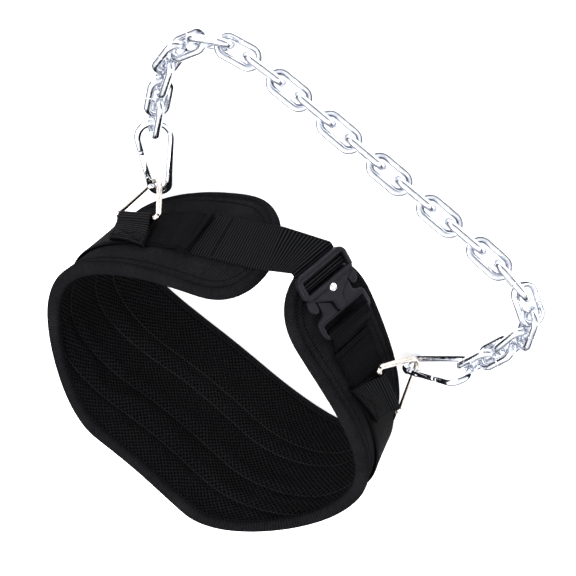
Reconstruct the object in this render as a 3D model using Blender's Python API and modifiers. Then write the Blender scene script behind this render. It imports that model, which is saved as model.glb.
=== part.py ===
"""Padded dip belt: a waist pad closed by a strap and buckle, two triangle rings, two snap hooks and a chain.

The belt stands on its lower edge with the buckle at -Y. Left and right are the wearer's, so left is +X.
Lengths are metres, angles degrees. Along the belt, "run" is the distance from the middle of the back,
positive towards the left, "rise" is the height on the wall above its middle line and "out" is the
distance from the middle of the wall's thickness, positive away from the wearer.
"""
import math

import bmesh
import bpy
import numpy as np
from mathutils import Matrix, Vector

# Waist loop seen from above
LOOP_HALF_WIDTH = 0.124
LOOP_HALF_DEPTH = 0.118
# wave, cosine share of width, sine share of width, sine share of depth, cosine share of depth
LOOP_WAVES = [
    (1, 1.00, 0.00, 1.00, 0.000),
    (2, 0.00, 0.21, -0.05, 0.135),
    (3, 0.17, 0.00, 0.08, 0.000),
]

# Padded wall: outward lean of its top edge, and the height of the band
LEAN_BACK = 8.0
LEAN_SIDES = 12.0
LEAN_FRONT = -20.0
LEAN_SKEW = 3.0
BACK_HEIGHT = 0.166
LEFT_TONGUE_HEIGHT = 0.110
RIGHT_TONGUE_HEIGHT = 0.090
TAPER_START = 0.050
TAPER_END = 0.182
FRONT_LIFT = 0.020
FRONT_SKEW = 0.006
LEFT_END = 0.382
RIGHT_END = 0.397
END_ROUND = 0.058
PAD_THICKNESS = 0.010
BINDING_WIDTH = 0.008
BINDING_EXTRA = 0.0008
SETTLE = 0.0016

# Webbing
STRAP_WIDTH = 0.046
WEB_THICKNESS = 0.0018
GAP = 0.0004
LOAD_LEFT_END = 0.308
LOAD_RIGHT_END = 0.324
TUCK = 0.014
LOOP_LEFT_RUN = 0.236
LOOP_RIGHT_RUN = 0.262
LOOP_TOP = 0.024
LOOP_DROP = 0.009
LOOP_SLANT = 14.0
LOOP_SIDE_LEAN = 12.0

# Triangle rings
RING_WIRE = 0.005
RING_BASE = 0.062
RING_HEIGHT = 0.044
RING_CORNER = 0.0035
RING_TIP = 0.0075
RING_SWING = {"left": 23.0, "right": 18.0}

# Snap hooks
HOOK_LENGTH = 0.075
HOOK_WIRE = 0.0072
HOOK_NARROW = 0.0082
HOOK_WIDE = 0.0145
HOOK_PIN_SHARE = 0.22
HOOK_NOSE_SHARE = 0.60
HOOK_TAB = 0.0026
HOOK_PIN = 0.003
# heading from above, and roll about the hook's length
HOOKS = {"left": (-60.0, 30.0), "right": (-135.0, 100.0)}
# where the hook's wire sits from the ring's tip: across the ring, down it, and out of its plane
HOOK_SEATS = {"left": (0.0035, -0.0065, -0.006), "right": (-0.0035, -0.004, 0.008)}

# Chain
LINK_WIRE = 0.007
LINK_INSIDE_LENGTH = 0.0306
LINK_PLAY = 0.0019
LINK_COUNT = 23
LINK_ROLL = 45.0
# how far every second link rides up where the chain turns 25 degrees or more at a link
LINK_LIFT = 0.0026
# x as a share of half the distance between the hooks' wide ends, y from the middle between them,
# share of the full pitch used there
CHAIN_ROUTE = [
    (1.0001, -0.0092, 0.86),
    (1.0526, -0.0512, 0.86),
    (1.0584, -0.0772, 0.90),
    (0.9768, -0.1082, 0.92),
    (0.8078, -0.1242, 0.96),
    (0.4872, -0.1242, 1.00),
    (-0.0374, -0.1162, 1.00),
    (-0.6203, -0.1072, 1.00),
    (-0.8768, -0.1012, 0.96),
    (-1.0108, -0.0912, 0.92),
    (-1.0925, -0.0662, 0.90),
    (-1.0691, -0.0392, 0.86),
    (-0.9963, -0.0032, 0.85),
]

# Buckle: its own "u" runs from the long strap's slot to the short strap's, "w" out from the belt
BUCKLE_RUN = 0.369
BUCKLE_RISE = -0.004
BUCKLE_STAND = 0.0030
BUCKLE_LENGTH = 0.062
BUCKLE_SIDE_BAR = 0.004
BUCKLE_END_BAR = 0.005
BUCKLE_SLOT = 0.0125
BUCKLE_SHORT_SLOT = 0.009
BUCKLE_PLATE = 0.003
BUCKLE_COVER = 0.0028
BUCKLE_FLOOR = 0.0016
SLOT_CLEARANCE = 0.001
RIVET_RADIUS = 0.0032

STEP = 0.013
HALF_PAD = PAD_THICKNESS / 2
HALF_WEB = WEB_THICKNESS / 2


def wave(turn):
    """Rises from 0 to 1 and falls back to 0 over one full turn."""
    return 0.5 - 0.5 * math.cos(turn)


def smooth(share):
    share = min(max(share, 0), 1)
    return share * share * (3 - 2 * share)


def trace_loop(count=1440):
    """Middle line of the belt from above, clockwise from the back, with its running length."""
    turn = math.pi / 2 - np.linspace(0, 2 * math.pi, count + 1)
    x = np.zeros(count + 1)
    y = np.zeros(count + 1)
    for number, x_cos, x_sin, y_sin, y_cos in LOOP_WAVES:
        x += LOOP_HALF_WIDTH * (x_cos * np.cos(number * turn) + x_sin * np.sin(number * turn))
        y += LOOP_HALF_DEPTH * (y_sin * np.sin(number * turn) + y_cos * np.cos(number * turn))
    run = np.concatenate([[0], np.cumsum(np.hypot(np.diff(x), np.diff(y)))])
    return run, x, y


RUNS, LOOP_X, LOOP_Y = trace_loop()
LOOP_LENGTH = float(RUNS[-1])


def loop_xy(run):
    run = run % LOOP_LENGTH
    return Vector((np.interp(run, RUNS, LOOP_X), np.interp(run, RUNS, LOOP_Y), 0))


def half_height(run):
    """Half the band's height: the wide back, then a smooth taper to each tongue."""
    side = math.tanh(run / TAPER_START)
    mean = (LEFT_TONGUE_HEIGHT + RIGHT_TONGUE_HEIGHT) / 2
    tongue = (mean + side * (LEFT_TONGUE_HEIGHT - RIGHT_TONGUE_HEIGHT) / 2) / 2
    share = smooth((TAPER_END - abs(run)) / (TAPER_END - TAPER_START))
    return tongue + (BACK_HEIGHT / 2 - tongue) * share


def wall_frame(run):
    """Foot of the wall's middle line there, with the directions along, up and out of the wall."""
    step = 0.001
    along = (loop_xy(run + step) - loop_xy(run - step)).normalized()
    level_out = Vector((-along.y, along.x, 0))
    turn = 2 * math.pi * run / LOOP_LENGTH
    front = wave(turn)
    lean = LEAN_BACK + (LEAN_FRONT - LEAN_BACK) * front + LEAN_SIDES * wave(2 * turn)
    lean = math.radians(lean - LEAN_SKEW * math.sin(turn))
    up = Vector((0, 0, math.cos(lean))) + level_out * math.sin(lean)
    out = level_out * math.cos(lean) - Vector((0, 0, math.sin(lean)))
    height = half_height(run) * math.cos(lean) + FRONT_LIFT * front ** 4
    height -= 2 * FRONT_SKEW * math.sin(turn) * front ** 2 + SETTLE
    return loop_xy(run) + Vector((0, 0, height)), along, up, out


def on_wall(run, rise, out_by):
    foot, along, up, out = wall_frame(run)
    return foot + up * rise + out * out_by


def layer(number):
    """Middle of the numbered layer of webbing on the outer face."""
    return HALF_PAD + BINDING_EXTRA + number * GAP + (number - 0.5) * WEB_THICKNESS


def stations(start, stop):
    """Places along the belt at whole steps, so that stacked layers bend at the same places."""
    first = math.ceil(start / STEP + 0.3)
    last = math.floor(stop / STEP - 0.3)
    return [start] + [number * STEP for number in range(first, last + 1)] + [stop]


def make_collection(name):
    collection = bpy.data.collections.new(name)
    bpy.context.scene.collection.children.link(collection)
    return collection


def add_part(name, data, finish):
    """Put a mesh or curve in the belt's collection with its own material."""
    color, roughness, metallic = finish
    material = bpy.data.materials.new(name)
    material.use_nodes = True
    shader = material.node_tree.nodes["Principled BSDF"]
    shader.inputs["Base Color"].default_value = (*color, 1)
    shader.inputs["Roughness"].default_value = roughness
    shader.inputs["Metallic"].default_value = metallic
    data.materials.append(material)
    part = bpy.data.objects.new(name, data)
    PARTS.objects.link(part)
    return part


CLOTH = ((0.012, 0.012, 0.013), 0.9, 0.0)
WEBBING = ((0.02, 0.02, 0.021), 0.75, 0.0)
BLACK_METAL = ((0.03, 0.03, 0.035), 0.45, 0.6)
NICKEL = ((0.72, 0.69, 0.65), 0.22, 1.0)
CHROME = ((0.75, 0.76, 0.78), 0.12, 1.0)
ZINC = ((0.62, 0.64, 0.67), 0.3, 1.0)


def sheet(name, grid, thickness, finish):
    """A cloth or webbing sheet: a grid of points given row by row, thickened evenly to both sides."""
    rows = len(grid)
    columns = len(grid[0])
    bm = bmesh.new()
    bmesh.ops.create_grid(bm, x_segments=columns - 1, y_segments=rows - 1, size=1)
    for vertex in bm.verts:
        column = round((vertex.co.x + 1) / 2 * (columns - 1))
        row = round((vertex.co.y + 1) / 2 * (rows - 1))
        vertex.co = grid[row][column]
    mesh = bpy.data.meshes.new(name)
    bm.to_mesh(mesh)
    bm.free()
    part = add_part(name, mesh, finish)
    solidify = part.modifiers.new("Thickness", "SOLIDIFY")
    solidify.thickness = thickness
    solidify.offset = 0
    solidify.use_even_offset = True
    return part


def end_shape(side, angle):
    """A point of a tongue's rounded end, for an angle from -90 at its lower edge to 90 at its top."""
    reach = LEFT_END if side > 0 else RIGHT_END
    run = side * (reach - END_ROUND + END_ROUND * max(math.cos(angle), 0) ** 0.8)
    return Vector((run, half_height(run) * math.sin(angle)))


END_ANGLES = [math.radians(angle) for angle in (-90, -72, -50, -26, 0, 26, 50, 72, 90)]


def edge_line():
    """Outline of the padded band as (run, rise) points, once round: lower edge, left end, top, right end."""
    middle = stations(END_ROUND - RIGHT_END, LEFT_END - END_ROUND)
    lower = [Vector((run, -half_height(run))) for run in middle[1:-1]]
    upper = [Vector((run, half_height(run))) for run in reversed(middle[1:-1])]
    left = [end_shape(1, angle) for angle in END_ANGLES]
    right = [end_shape(-1, angle) for angle in reversed(END_ANGLES)]
    return lower + left + upper + right


def inward(points, number):
    """Unit step from an outline point towards the band's inside."""
    before = points[number - 1]
    after = points[(number + 1) % len(points)]
    step = (after - before).normalized()
    return Vector((-step.y, step.x))


def build_pad():
    """The padded core inside its binding: rows of points that run from one rounded end to the other."""
    edge = edge_line()
    inset = BINDING_WIDTH + 2.5 * GAP
    middle = stations(END_ROUND - RIGHT_END, LEFT_END - END_ROUND)[1:-1]
    left_first = len(middle)
    right_last = len(edge) - 1
    step = 0.001
    grid = []
    for row, angle in enumerate(END_ANGLES):
        left_tip = edge[left_first + row] + inward(edge, left_first + row) * inset
        right_tip = edge[right_last - row] + inward(edge, right_last - row) * inset
        points = []
        for run in middle:
            slope = (half_height(run + step) - half_height(run - step)) / (2 * step)
            half = half_height(run) - inset * math.hypot(1, slope)
            points.append(Vector((run, half * math.sin(angle))))
        right = [right_tip.lerp(points[0], share) for share in (0, 0.35, 0.7)]
        left = [points[-1].lerp(left_tip, share) for share in (0.3, 0.65, 1)]
        grid.append([on_wall(point.x, point.y, 0) for point in right + points + left])
    sheet("waist_pad", grid, PAD_THICKNESS, CLOTH)


def build_binding():
    """The tape round the pad's edge, flattened where the belt stands on it."""
    edge = edge_line()
    half = HALF_PAD + BINDING_EXTRA
    # inwards from the edge, out of the wall
    section = [
        (BINDING_WIDTH, half),
        (BINDING_WIDTH * 0.25, half),
        (0, half * 0.45),
        (0, -half * 0.45),
        (BINDING_WIDTH * 0.25, -half),
        (BINDING_WIDTH, -half),
    ]
    bm = bmesh.new()
    rings = []
    for number, point in enumerate(edge):
        step = inward(edge, number)
        ring = []
        for depth, out_by in section:
            place = point + step * depth
            corner = on_wall(place.x, place.y, out_by)
            corner.z = max(corner.z, 0)
            ring.append(bm.verts.new(corner))
        rings.append(ring)
    for number, ring in enumerate(rings):
        other = rings[(number + 1) % len(rings)]
        for side in range(len(section)):
            turn = (side + 1) % len(section)
            bm.faces.new((ring[side], ring[turn], other[turn], other[side]))
    bmesh.ops.recalc_face_normals(bm, faces=bm.faces)
    mesh = bpy.data.meshes.new("edge_binding")
    bm.to_mesh(mesh)
    bm.free()
    add_part("edge_binding", mesh, CLOTH)


def strap_grid(places):
    """Three points across the strap at each (run, rise, out) place on the wall."""
    half = STRAP_WIDTH / 2
    return [[on_wall(run, rise + v, out_by) for v in (-half, 0, half)] for run, rise, out_by in places]


def build_load_strap():
    """The webbing sewn round the outside, which lies over the tucked ends of the two buckle straps."""
    left_ramp = LOAD_LEFT_END - TUCK
    right_ramp = LOAD_RIGHT_END - TUCK
    runs = stations(-LOAD_RIGHT_END, -right_ramp) + stations(-right_ramp, left_ramp)[1:]
    places = []
    for run in runs + stations(left_ramp, LOAD_LEFT_END)[1:]:
        share = max(smooth(1 + (run - left_ramp) / TUCK), smooth(1 + (-run - right_ramp) / TUCK))
        places.append((run, 0, layer(1) + (layer(2) - layer(1)) * share))
    sheet("load_strap", strap_grid(places), WEB_THICKNESS, WEBBING)


class Frame:
    """A flat frame that touches the wall at one place."""

    def __init__(self, run, rise, out_by):
        foot, self.along, self.up, self.out = wall_frame(run)
        self.origin = foot + self.up * rise + self.out * out_by

    def point(self, along, up, out):
        return self.origin + self.along * along + self.up * up + self.out * out

    def matrix(self):
        axes = Matrix((self.along, self.up, self.out)).transposed().to_4x4()
        return Matrix.Translation(self.origin) @ axes


BUCKLE = Frame(-BUCKLE_RUN, BUCKLE_RISE, layer(1) + BUCKLE_STAND)
BUCKLE_HALF = BUCKLE_LENGTH / 2
PLATE_TOP = BUCKLE_FLOOR + BUCKLE_PLATE
COVER_FLOOR = PLATE_TOP + GAP
COVER_TOP = COVER_FLOOR + BUCKLE_COVER
SLOT_START = BUCKLE_END_BAR - BUCKLE_HALF
SLOT_END = SLOT_START + BUCKLE_SLOT
SHORT_SLOT_END = BUCKLE_HALF - BUCKLE_END_BAR
SHORT_SLOT_START = SHORT_SLOT_END - BUCKLE_SHORT_SLOT
SLOT_HALF = STRAP_WIDTH / 2 + SLOT_CLEARANCE
BUCKLE_HALF_WIDTH = SLOT_HALF + BUCKLE_SIDE_BAR
WEB_OVER = HALF_WEB + GAP


def buckle_rows(places):
    half = STRAP_WIDTH / 2
    return [[BUCKLE.point(u, v, w) for v in (-half, 0, half)] for u, w in places]


def round_corner(u, w, first, second):
    """Three places that carry a strap's middle round a bar's corner, from one face to the next."""
    places = []
    for a, b in ((1, 0), (0.8, 0.8), (0, 1)):
        along = first[0] * a + second[0] * b
        out = first[1] * a + second[1] * b
        places.append((u + along * WEB_OVER, w + out * WEB_OVER))
    return places


def adjuster_bar():
    """Start, end and top of the cross bar that the long strap goes round."""
    middle = (SLOT_START + SLOT_END) / 2
    half = BUCKLE_SLOT * 0.1
    return middle - half, middle + half, BUCKLE_FLOOR + BUCKLE_PLATE * 0.7


def build_long_strap():
    """From under the load strap's left end to the buckle, round its bar and back underneath."""
    start = LOAD_LEFT_END - TUCK + GAP
    stop = LEFT_END + STEP
    wall = []
    for run in stations(start, stop):
        share = smooth((run - start) / (stop - start))
        wall.append((run, BUCKLE_RISE * share, layer(1)))
    bar_start, bar_end, bar_top = adjuster_bar()
    left, right, above, below = (-1, 0), (1, 0), (0, 1), (0, -1)
    under = BUCKLE_FLOOR - WEB_OVER - GAP
    tail = under - WEB_THICKNESS - GAP
    around = [(-BUCKLE_HALF - 0.004, under), (SLOT_START, under)]
    around += [(bar_start - WEB_OVER, BUCKLE_FLOOR)]
    around += round_corner(bar_start, bar_top, left, above)
    around += round_corner(bar_end, bar_top, above, right)
    around += [(bar_end + WEB_OVER, under), (bar_end, tail)]
    around += [(bar_start - WEB_OVER, tail), (-BUCKLE_HALF, tail)]
    sheet("long_strap", strap_grid(wall) + buckle_rows(around), WEB_THICKNESS, WEBBING)


def build_short_strap():
    """Round the buckle's end bar and sewn to the pad, its lower layer tucked under the load strap."""
    start = LOAD_RIGHT_END - TUCK + GAP
    under = BUCKLE_FLOOR - WEB_OVER
    above = PLATE_TOP + WEB_OVER
    flat = LOAD_RIGHT_END + 2.5 * WEB_THICKNESS
    lower = [(-run, BUCKLE_RISE, layer(1)) for run in (start, start + TUCK / 2, flat)]
    around = [(BUCKLE_HALF, under)]
    around += round_corner(SHORT_SLOT_END, BUCKLE_FLOOR, (0, -1), (-1, 0))
    around += round_corner(SHORT_SLOT_END, PLATE_TOP, (-1, 0), (0, 1))
    around += [(BUCKLE_HALF, above), (BUCKLE_HALF + 2 * WEB_OVER, above - HALF_WEB)]
    upper = [(-run, BUCKLE_RISE, layer(2) + GAP) for run in (flat, LOAD_RIGHT_END + GAP * 4)]
    grid = strap_grid(lower) + buckle_rows(around) + strap_grid(upper)
    sheet("short_strap", grid, WEB_THICKNESS, WEBBING)


class RingSeat:
    """Where one ring's webbing loop is sewn: its fold and the ring's base bar share this place."""

    def __init__(self, name):
        self.side = 1 if name == "left" else -1
        self.run = self.side * (LOOP_LEFT_RUN if name == "left" else LOOP_RIGHT_RUN)
        self.frame = Frame(self.run, 0, 0)
        self.fold = RING_WIRE / 2 + GAP + HALF_WEB
        self.bar_out = layer(2) + self.fold

    def place(self, width, length, out_by):
        """A place on the loop: width towards the front, length up the wall, which follows the belt
        at the top and turns flat at the fold, as the ring's bar is straight."""
        slant = math.radians(LOOP_SLANT)
        tilt = math.radians(LOOP_SIDE_LEAN)
        along = self.side * (width * math.cos(slant) + length * math.sin(tilt))
        rise = width * math.sin(slant) + length * math.cos(tilt)
        flat = self.frame.point(along, rise, out_by)
        share = smooth((LOOP_TOP / 2 - length) / (LOOP_TOP / 2 + LOOP_DROP / 2))
        return on_wall(self.run + along, rise, out_by).lerp(flat, share)

    def bar(self, width):
        return self.place(width, -LOOP_DROP, self.bar_out)


def build_ring_loop(name):
    seat = RingSeat(name)
    inner = layer(2)
    outer = layer(3)
    path = [(LOOP_TOP, inner), (LOOP_TOP / 3, inner), (-LOOP_DROP / 2, inner)]
    for turn in (180, 216, 252, 288, 324, 360):
        angle = math.radians(turn)
        bend = seat.fold / math.cos(math.radians(LOOP_SLANT + LOOP_SIDE_LEAN))
        path.append((-LOOP_DROP + bend * math.sin(angle), seat.bar_out + seat.fold * math.cos(angle)))
    path += [(-LOOP_DROP / 2, seat.bar_out + seat.fold * 0.7), (0, outer + seat.fold * 0.5)]
    path += [(LOOP_TOP / 2, outer + GAP), (LOOP_TOP, outer)]
    widths = [STRAP_WIDTH * (share - 0.5) for share in (0, 0.2, 0.4, 0.6, 0.8, 1)]
    grid = [[seat.place(width, length, out_by) for width in widths] for length, out_by in path]
    sheet(name + "_ring_loop", grid, WEB_THICKNESS, WEBBING)


def wire(name, points, radius, finish, closed=True, resolution=2):
    """A round wire along a line of points."""
    curve = bpy.data.curves.new(name, "CURVE")
    curve.dimensions = "3D"
    curve.bevel_depth = radius
    curve.bevel_resolution = resolution
    curve.use_fill_caps = True
    spline = curve.splines.new("POLY")
    spline.points.add(len(points) - 1)
    for place, point in zip(spline.points, points):
        place.co = (*point, 1)
    spline.use_cyclic_u = closed
    return add_part(name, curve, finish)


def arc(center, radius, start, stop, count):
    """Points of an arc in a plane, both ends included."""
    angles = [math.radians(start + (stop - start) * number / count) for number in range(count + 1)]
    return [Vector((center[0] + radius * math.cos(a), center[1] + radius * math.sin(a))) for a in angles]


def ring_axes(name):
    """The ring's base middle, and the directions along its base and down to its tip."""
    seat = RingSeat(name)
    base = seat.bar(0)
    across = (seat.bar(RING_BASE / 2) - seat.bar(-RING_BASE / 2)).normalized()
    swing = math.radians(RING_SWING[name])
    down = seat.frame.out * math.sin(swing) - seat.frame.up * math.cos(swing)
    down = (down - across * down.dot(across)).normalized()
    return base, across, down


RING_SLOPE = math.atan2(RING_HEIGHT, RING_BASE / 2)
RING_TIP_REACH = RING_HEIGHT - RING_TIP / math.cos(RING_SLOPE) + RING_TIP


def ring_line(name):
    """The ring's middle line: a flat triangle with three rounded corners."""
    base, across, down = ring_axes(name)
    slope = math.degrees(RING_SLOPE)
    corner_x = RING_BASE / 2 - RING_CORNER / math.tan(RING_SLOPE / 2)
    outline = arc((-corner_x, RING_CORNER), RING_CORNER, 270, 90 + slope, 5)
    outline += arc((0, RING_TIP_REACH - RING_TIP), RING_TIP, 90 + slope, 90 - slope, 6)
    outline += arc((corner_x, RING_CORNER), RING_CORNER, 90 - slope, -90, 5)
    return [base + across * point.x + down * point.y for point in outline]


def build_ring(name):
    wire(name + "_ring", ring_line(name), RING_WIRE / 2, NICKEL)


HOOK_REACH = HOOK_LENGTH - HOOK_WIRE


def hook_matrix(name):
    """The hook's own axes: x from its narrow to its wide end, y to the gate, z square to its plane.
    The narrow end hangs in the ring's tip and the wide end rests on the ground."""
    base, across, down = ring_axes(name)
    side, drop, square = HOOK_SEATS[name]
    place = base + across * side + down * (RING_TIP_REACH + drop) + across.cross(down) * square
    heading, roll = (math.radians(value) for value in HOOKS[name])
    rest = HOOK_WIDE * abs(math.sin(roll)) + HOOK_WIRE / 2
    pitch = math.asin((rest - place.z) / (HOOK_REACH - HOOK_WIDE))
    turn = Matrix.Rotation(heading, 4, "Z") @ Matrix.Rotation(-pitch, 4, "Y") @ Matrix.Rotation(roll, 4, "X")
    return Matrix.Translation(place) @ turn


def hook_side(share):
    """A point of the gate side's middle line, by its share of the hook's length."""
    spread = math.asin((HOOK_WIDE - HOOK_NARROW) / (HOOK_REACH - HOOK_WIDE - HOOK_NARROW))
    normal = Vector((-math.sin(spread), math.cos(spread)))
    start = Vector((HOOK_NARROW, 0)) + normal * HOOK_NARROW
    stop = Vector((HOOK_REACH - HOOK_WIDE, 0)) + normal * HOOK_WIDE
    along = (share * HOOK_REACH - start.x) / (stop.x - start.x)
    return start.lerp(stop, along), math.degrees(spread)


def lift(points, matrix):
    return [matrix @ Vector((point.x, point.y, 0)) for point in points]


def to_mesh(part):
    """Replace a curve or modified object by its finished mesh, welded, so that it can be cut or joined."""
    bpy.context.view_layer.update()
    shape = part.evaluated_get(bpy.context.evaluated_depsgraph_get())
    mesh = bpy.data.meshes.new_from_object(shape)
    bm = bmesh.new()
    bm.from_mesh(mesh)
    bmesh.ops.remove_doubles(bm, verts=bm.verts, dist=0.00001)
    bmesh.ops.recalc_face_normals(bm, faces=bm.faces)
    bm.to_mesh(mesh)
    bm.free()
    name = part.name
    matrix = part.matrix_world.copy()
    bpy.data.objects.remove(part)
    fresh = bpy.data.objects.new(name, mesh)
    fresh.matrix_world = matrix
    PARTS.objects.link(fresh)
    return fresh


def tool_box(name, size, matrix):
    mesh = bpy.data.meshes.new(name)
    bm = bmesh.new()
    bmesh.ops.create_cube(bm, size=1)
    bmesh.ops.scale(bm, vec=size, verts=bm.verts)
    bm.to_mesh(mesh)
    bm.free()
    return tool_object(name, mesh, matrix)


def tool_rod(name, radius, length, matrix, sides=12):
    mesh = bpy.data.meshes.new(name)
    bm = bmesh.new()
    bmesh.ops.create_cone(bm, cap_ends=True, segments=sides, radius1=radius, radius2=radius, depth=length)
    bm.to_mesh(mesh)
    bm.free()
    return tool_object(name, mesh, matrix)


def tool_object(name, mesh, matrix):
    tool = bpy.data.objects.new(name, mesh)
    tool.matrix_world = matrix
    tool.hide_render = True
    tool.display_type = "WIRE"
    CUTTERS.objects.link(tool)
    return tool


def combine(part, tool, operation):
    change = part.modifiers.new(operation.title(), "BOOLEAN")
    change.operation = operation
    change.solver = "EXACT"
    change.object = tool
    return part


def build_hook(name):
    """A pear-shaped hook: bent wire open on one side, with a flat tab that the gate's pin goes through."""
    matrix = hook_matrix(name)
    nose, spread = hook_side(HOOK_NOSE_SHARE)
    pin, spread = hook_side(HOOK_PIN_SHARE)
    wide = arc((HOOK_REACH - HOOK_WIDE, 0), HOOK_WIDE, 90 + spread, -90 - spread, 8)
    narrow = arc((HOOK_NARROW, 0), HOOK_NARROW, 270 - spread, 90 + spread, 6)
    body = wire(name + "_hook", lift([nose] + wide + narrow, matrix), HOOK_WIRE / 2, CHROME, closed=False)
    body = to_mesh(body)
    slant = Matrix.Rotation(math.radians(spread), 4, "Z")
    seat = matrix @ Matrix.Translation((pin.x, pin.y, 0)) @ slant
    reach = pin.x - narrow[-1].x + HOOK_WIRE / 2
    tab_width = HOOK_WIRE * 0.8
    tab = tool_box(name + "_tab", (reach, tab_width, HOOK_TAB), seat @ Matrix.Translation((-reach / 2, 0, 0)))
    combine(body, tab, "UNION")
    eye = tool_rod(name + "_eye", tab_width * 0.55, HOOK_TAB * 0.96, seat)
    combine(body, eye, "UNION")
    combine(body, tool_rod(name + "_pin_hole", HOOK_PIN / 2 + GAP, HOOK_WIRE * 2, seat), "DIFFERENCE")
    build_gate(name, matrix, nose, pin, spread)


def build_gate(name, matrix, nose, pin, spread):
    """The gate: a round bar from the nose to the hinge, forked over the hook's tab, with its pin."""
    length = (nose - pin).length - GAP
    heel = HOOK_WIRE * 0.5
    radius = HOOK_WIRE * 0.46
    gate = bpy.data.objects.new(name + "_gate_axis", None)
    gate.matrix_world = matrix @ Matrix.Translation((pin.x, pin.y, 0)) @ Matrix.Rotation(math.radians(spread), 4, "Z")
    PARTS.objects.link(gate)
    bar = wire(name + "_gate", [Vector((-heel, 0, 0)), Vector((length, 0, 0))], radius, CHROME, closed=False)
    bar.parent = gate
    bpy.context.view_layer.update()
    bar = to_mesh(bar)
    place = gate.matrix_world
    fork = heel * 2 + GAP * 2
    slot = tool_box(name + "_gate_slot", (fork + heel, HOOK_WIRE * 2, HOOK_TAB + 2 * GAP),
                    place @ Matrix.Translation(((fork - heel * 2) / 2 - heel / 2, 0, 0)))
    combine(bar, slot, "DIFFERENCE")
    combine(bar, tool_rod(name + "_gate_pin", HOOK_PIN / 2, HOOK_WIRE * 0.98, place), "UNION")


def build_plate(name, outline, holes, bottom, top, finish):
    """A flat plate in the buckle's frame: an outline with holes, extruded from bottom to top."""
    curve = bpy.data.curves.new(name, "CURVE")
    curve.dimensions = "2D"
    curve.fill_mode = "BOTH"
    curve.extrude = (top - bottom) / 2
    for loop in [outline] + holes:
        spline = curve.splines.new("POLY")
        spline.points.add(len(loop) - 1)
        for place, point in zip(spline.points, loop):
            place.co = (*point, 0, 1)
        spline.use_cyclic_u = True
    part = add_part(name, curve, finish)
    part.matrix_world = BUCKLE.matrix() @ Matrix.Translation((0, 0, (bottom + top) / 2))
    return part


def mirrored(points):
    """Close a half outline, given from its first to its last point on the middle line's +v side."""
    return points + [(u, -v) for u, v in reversed(points) if v > 0]


def slot_outline(start, stop):
    return [(start, -SLOT_HALF), (stop, -SLOT_HALF), (stop, SLOT_HALF), (start, SLOT_HALF)]


def build_buckle():
    """The cover with the long strap's slot, over the plate with the short strap's slot."""
    half = BUCKLE_HALF
    wide = BUCKLE_HALF_WIDTH
    cover_outline = mirrored([
        (-half, wide * 0.76), (-half * 0.93, wide * 0.92), (-half * 0.80, wide), (-half * 0.36, wide),
        (-half * 0.22, wide * 0.86), (-half * 0.10, wide * 0.60), (half * 0.05, wide * 0.40),
        (half * 0.16, wide * 0.30), (half * 0.32, wide * 0.30), (half * 0.42, wide * 0.20),
        (half * 0.46, 0.0),
    ])
    cover = build_plate("buckle_cover", cover_outline, [slot_outline(SLOT_START, SLOT_END)],
                        COVER_FLOOR, COVER_TOP, BLACK_METAL)
    cover = to_mesh(cover)
    rim_outline = mirrored([
        (-half, wide * 0.76), (-half * 0.93, wide * 0.92), (-half * 0.80, wide), (-half * 0.36, wide),
    ])
    rim_end = -half * 0.36
    rim = build_plate("buckle_rim", rim_outline, [slot_outline(SLOT_START, SLOT_END)],
                      BUCKLE_FLOOR, COVER_FLOOR + BUCKLE_COVER / 2, BLACK_METAL)
    rim = to_mesh(rim)
    CUTTERS.objects.link(rim)
    PARTS.objects.unlink(rim)
    rim.hide_render = True
    rim.display_type = "WIRE"
    combine(cover, rim, "UNION")
    bar_start, bar_end, bar_top = adjuster_bar()
    bar_size = (bar_end - bar_start, 2 * SLOT_HALF + BUCKLE_SIDE_BAR, bar_top - BUCKLE_FLOOR)
    bar_place = BUCKLE.point((bar_start + bar_end) / 2, 0, BUCKLE_FLOOR + bar_size[2] / 2)
    bar = tool_box("buckle_bar", bar_size, Matrix.Translation(bar_place) @ BUCKLE.matrix().to_3x3().to_4x4())
    combine(cover, bar, "UNION")
    plate_outline = mirrored([
        (rim_end + GAP, wide * 0.62), (half * 0.05, wide * 0.66), (half * 0.22, wide * 0.62),
        (half * 0.32, wide * 0.72), (half * 0.40, wide * 0.94), (half * 0.52, wide),
        (half * 0.88, wide), (half, wide * 0.84),
    ])
    build_plate("buckle_plate", plate_outline, [slot_outline(SHORT_SLOT_START, SHORT_SLOT_END)],
                BUCKLE_FLOOR, PLATE_TOP, BLACK_METAL)
    build_rivet(rim_end)
    build_tabs()


def build_rivet(rim_end):
    place = Matrix.Translation((rim_end * 0.55, 0, COVER_TOP + GAP + 0.0004))
    mesh = bpy.data.meshes.new("buckle_rivet")
    bm = bmesh.new()
    bmesh.ops.create_cone(bm, cap_ends=True, segments=14, radius1=RIVET_RADIUS, radius2=RIVET_RADIUS * 0.7,
                          depth=0.0008)
    bm.to_mesh(mesh)
    bm.free()
    rivet = add_part("buckle_rivet", mesh, NICKEL)
    rivet.matrix_world = BUCKLE.matrix() @ place


def build_tabs():
    """The two side tabs that are squeezed to open the buckle."""
    half = BUCKLE_HALF
    wide = BUCKLE_HALF_WIDTH
    outline = [
        (-half * 0.30, wide * 0.70), (half * 0.18, wide * 0.70), (half * 0.14, wide * 0.92),
        (-half * 0.02, wide * 1.02), (-half * 0.30, wide * 0.94),
    ]
    for side, name in ((1, "upper"), (-1, "lower")):
        points = [(u, side * v) for u, v in outline]
        build_plate(name + "_release_tab", points, [], BUCKLE_FLOOR, PLATE_TOP, BLACK_METAL)


def link_outline():
    """A link's middle line: two half turns joined by straight sides."""
    half_width = LINK_WIRE * 1.5 + LINK_PLAY - LINK_WIRE / 2
    straight = LINK_INSIDE_LENGTH / 2 + LINK_WIRE / 2 - half_width
    return arc((straight, 0), half_width, -90, 90, 6) + arc((-straight, 0), half_width, 90, 270, 6)


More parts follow.
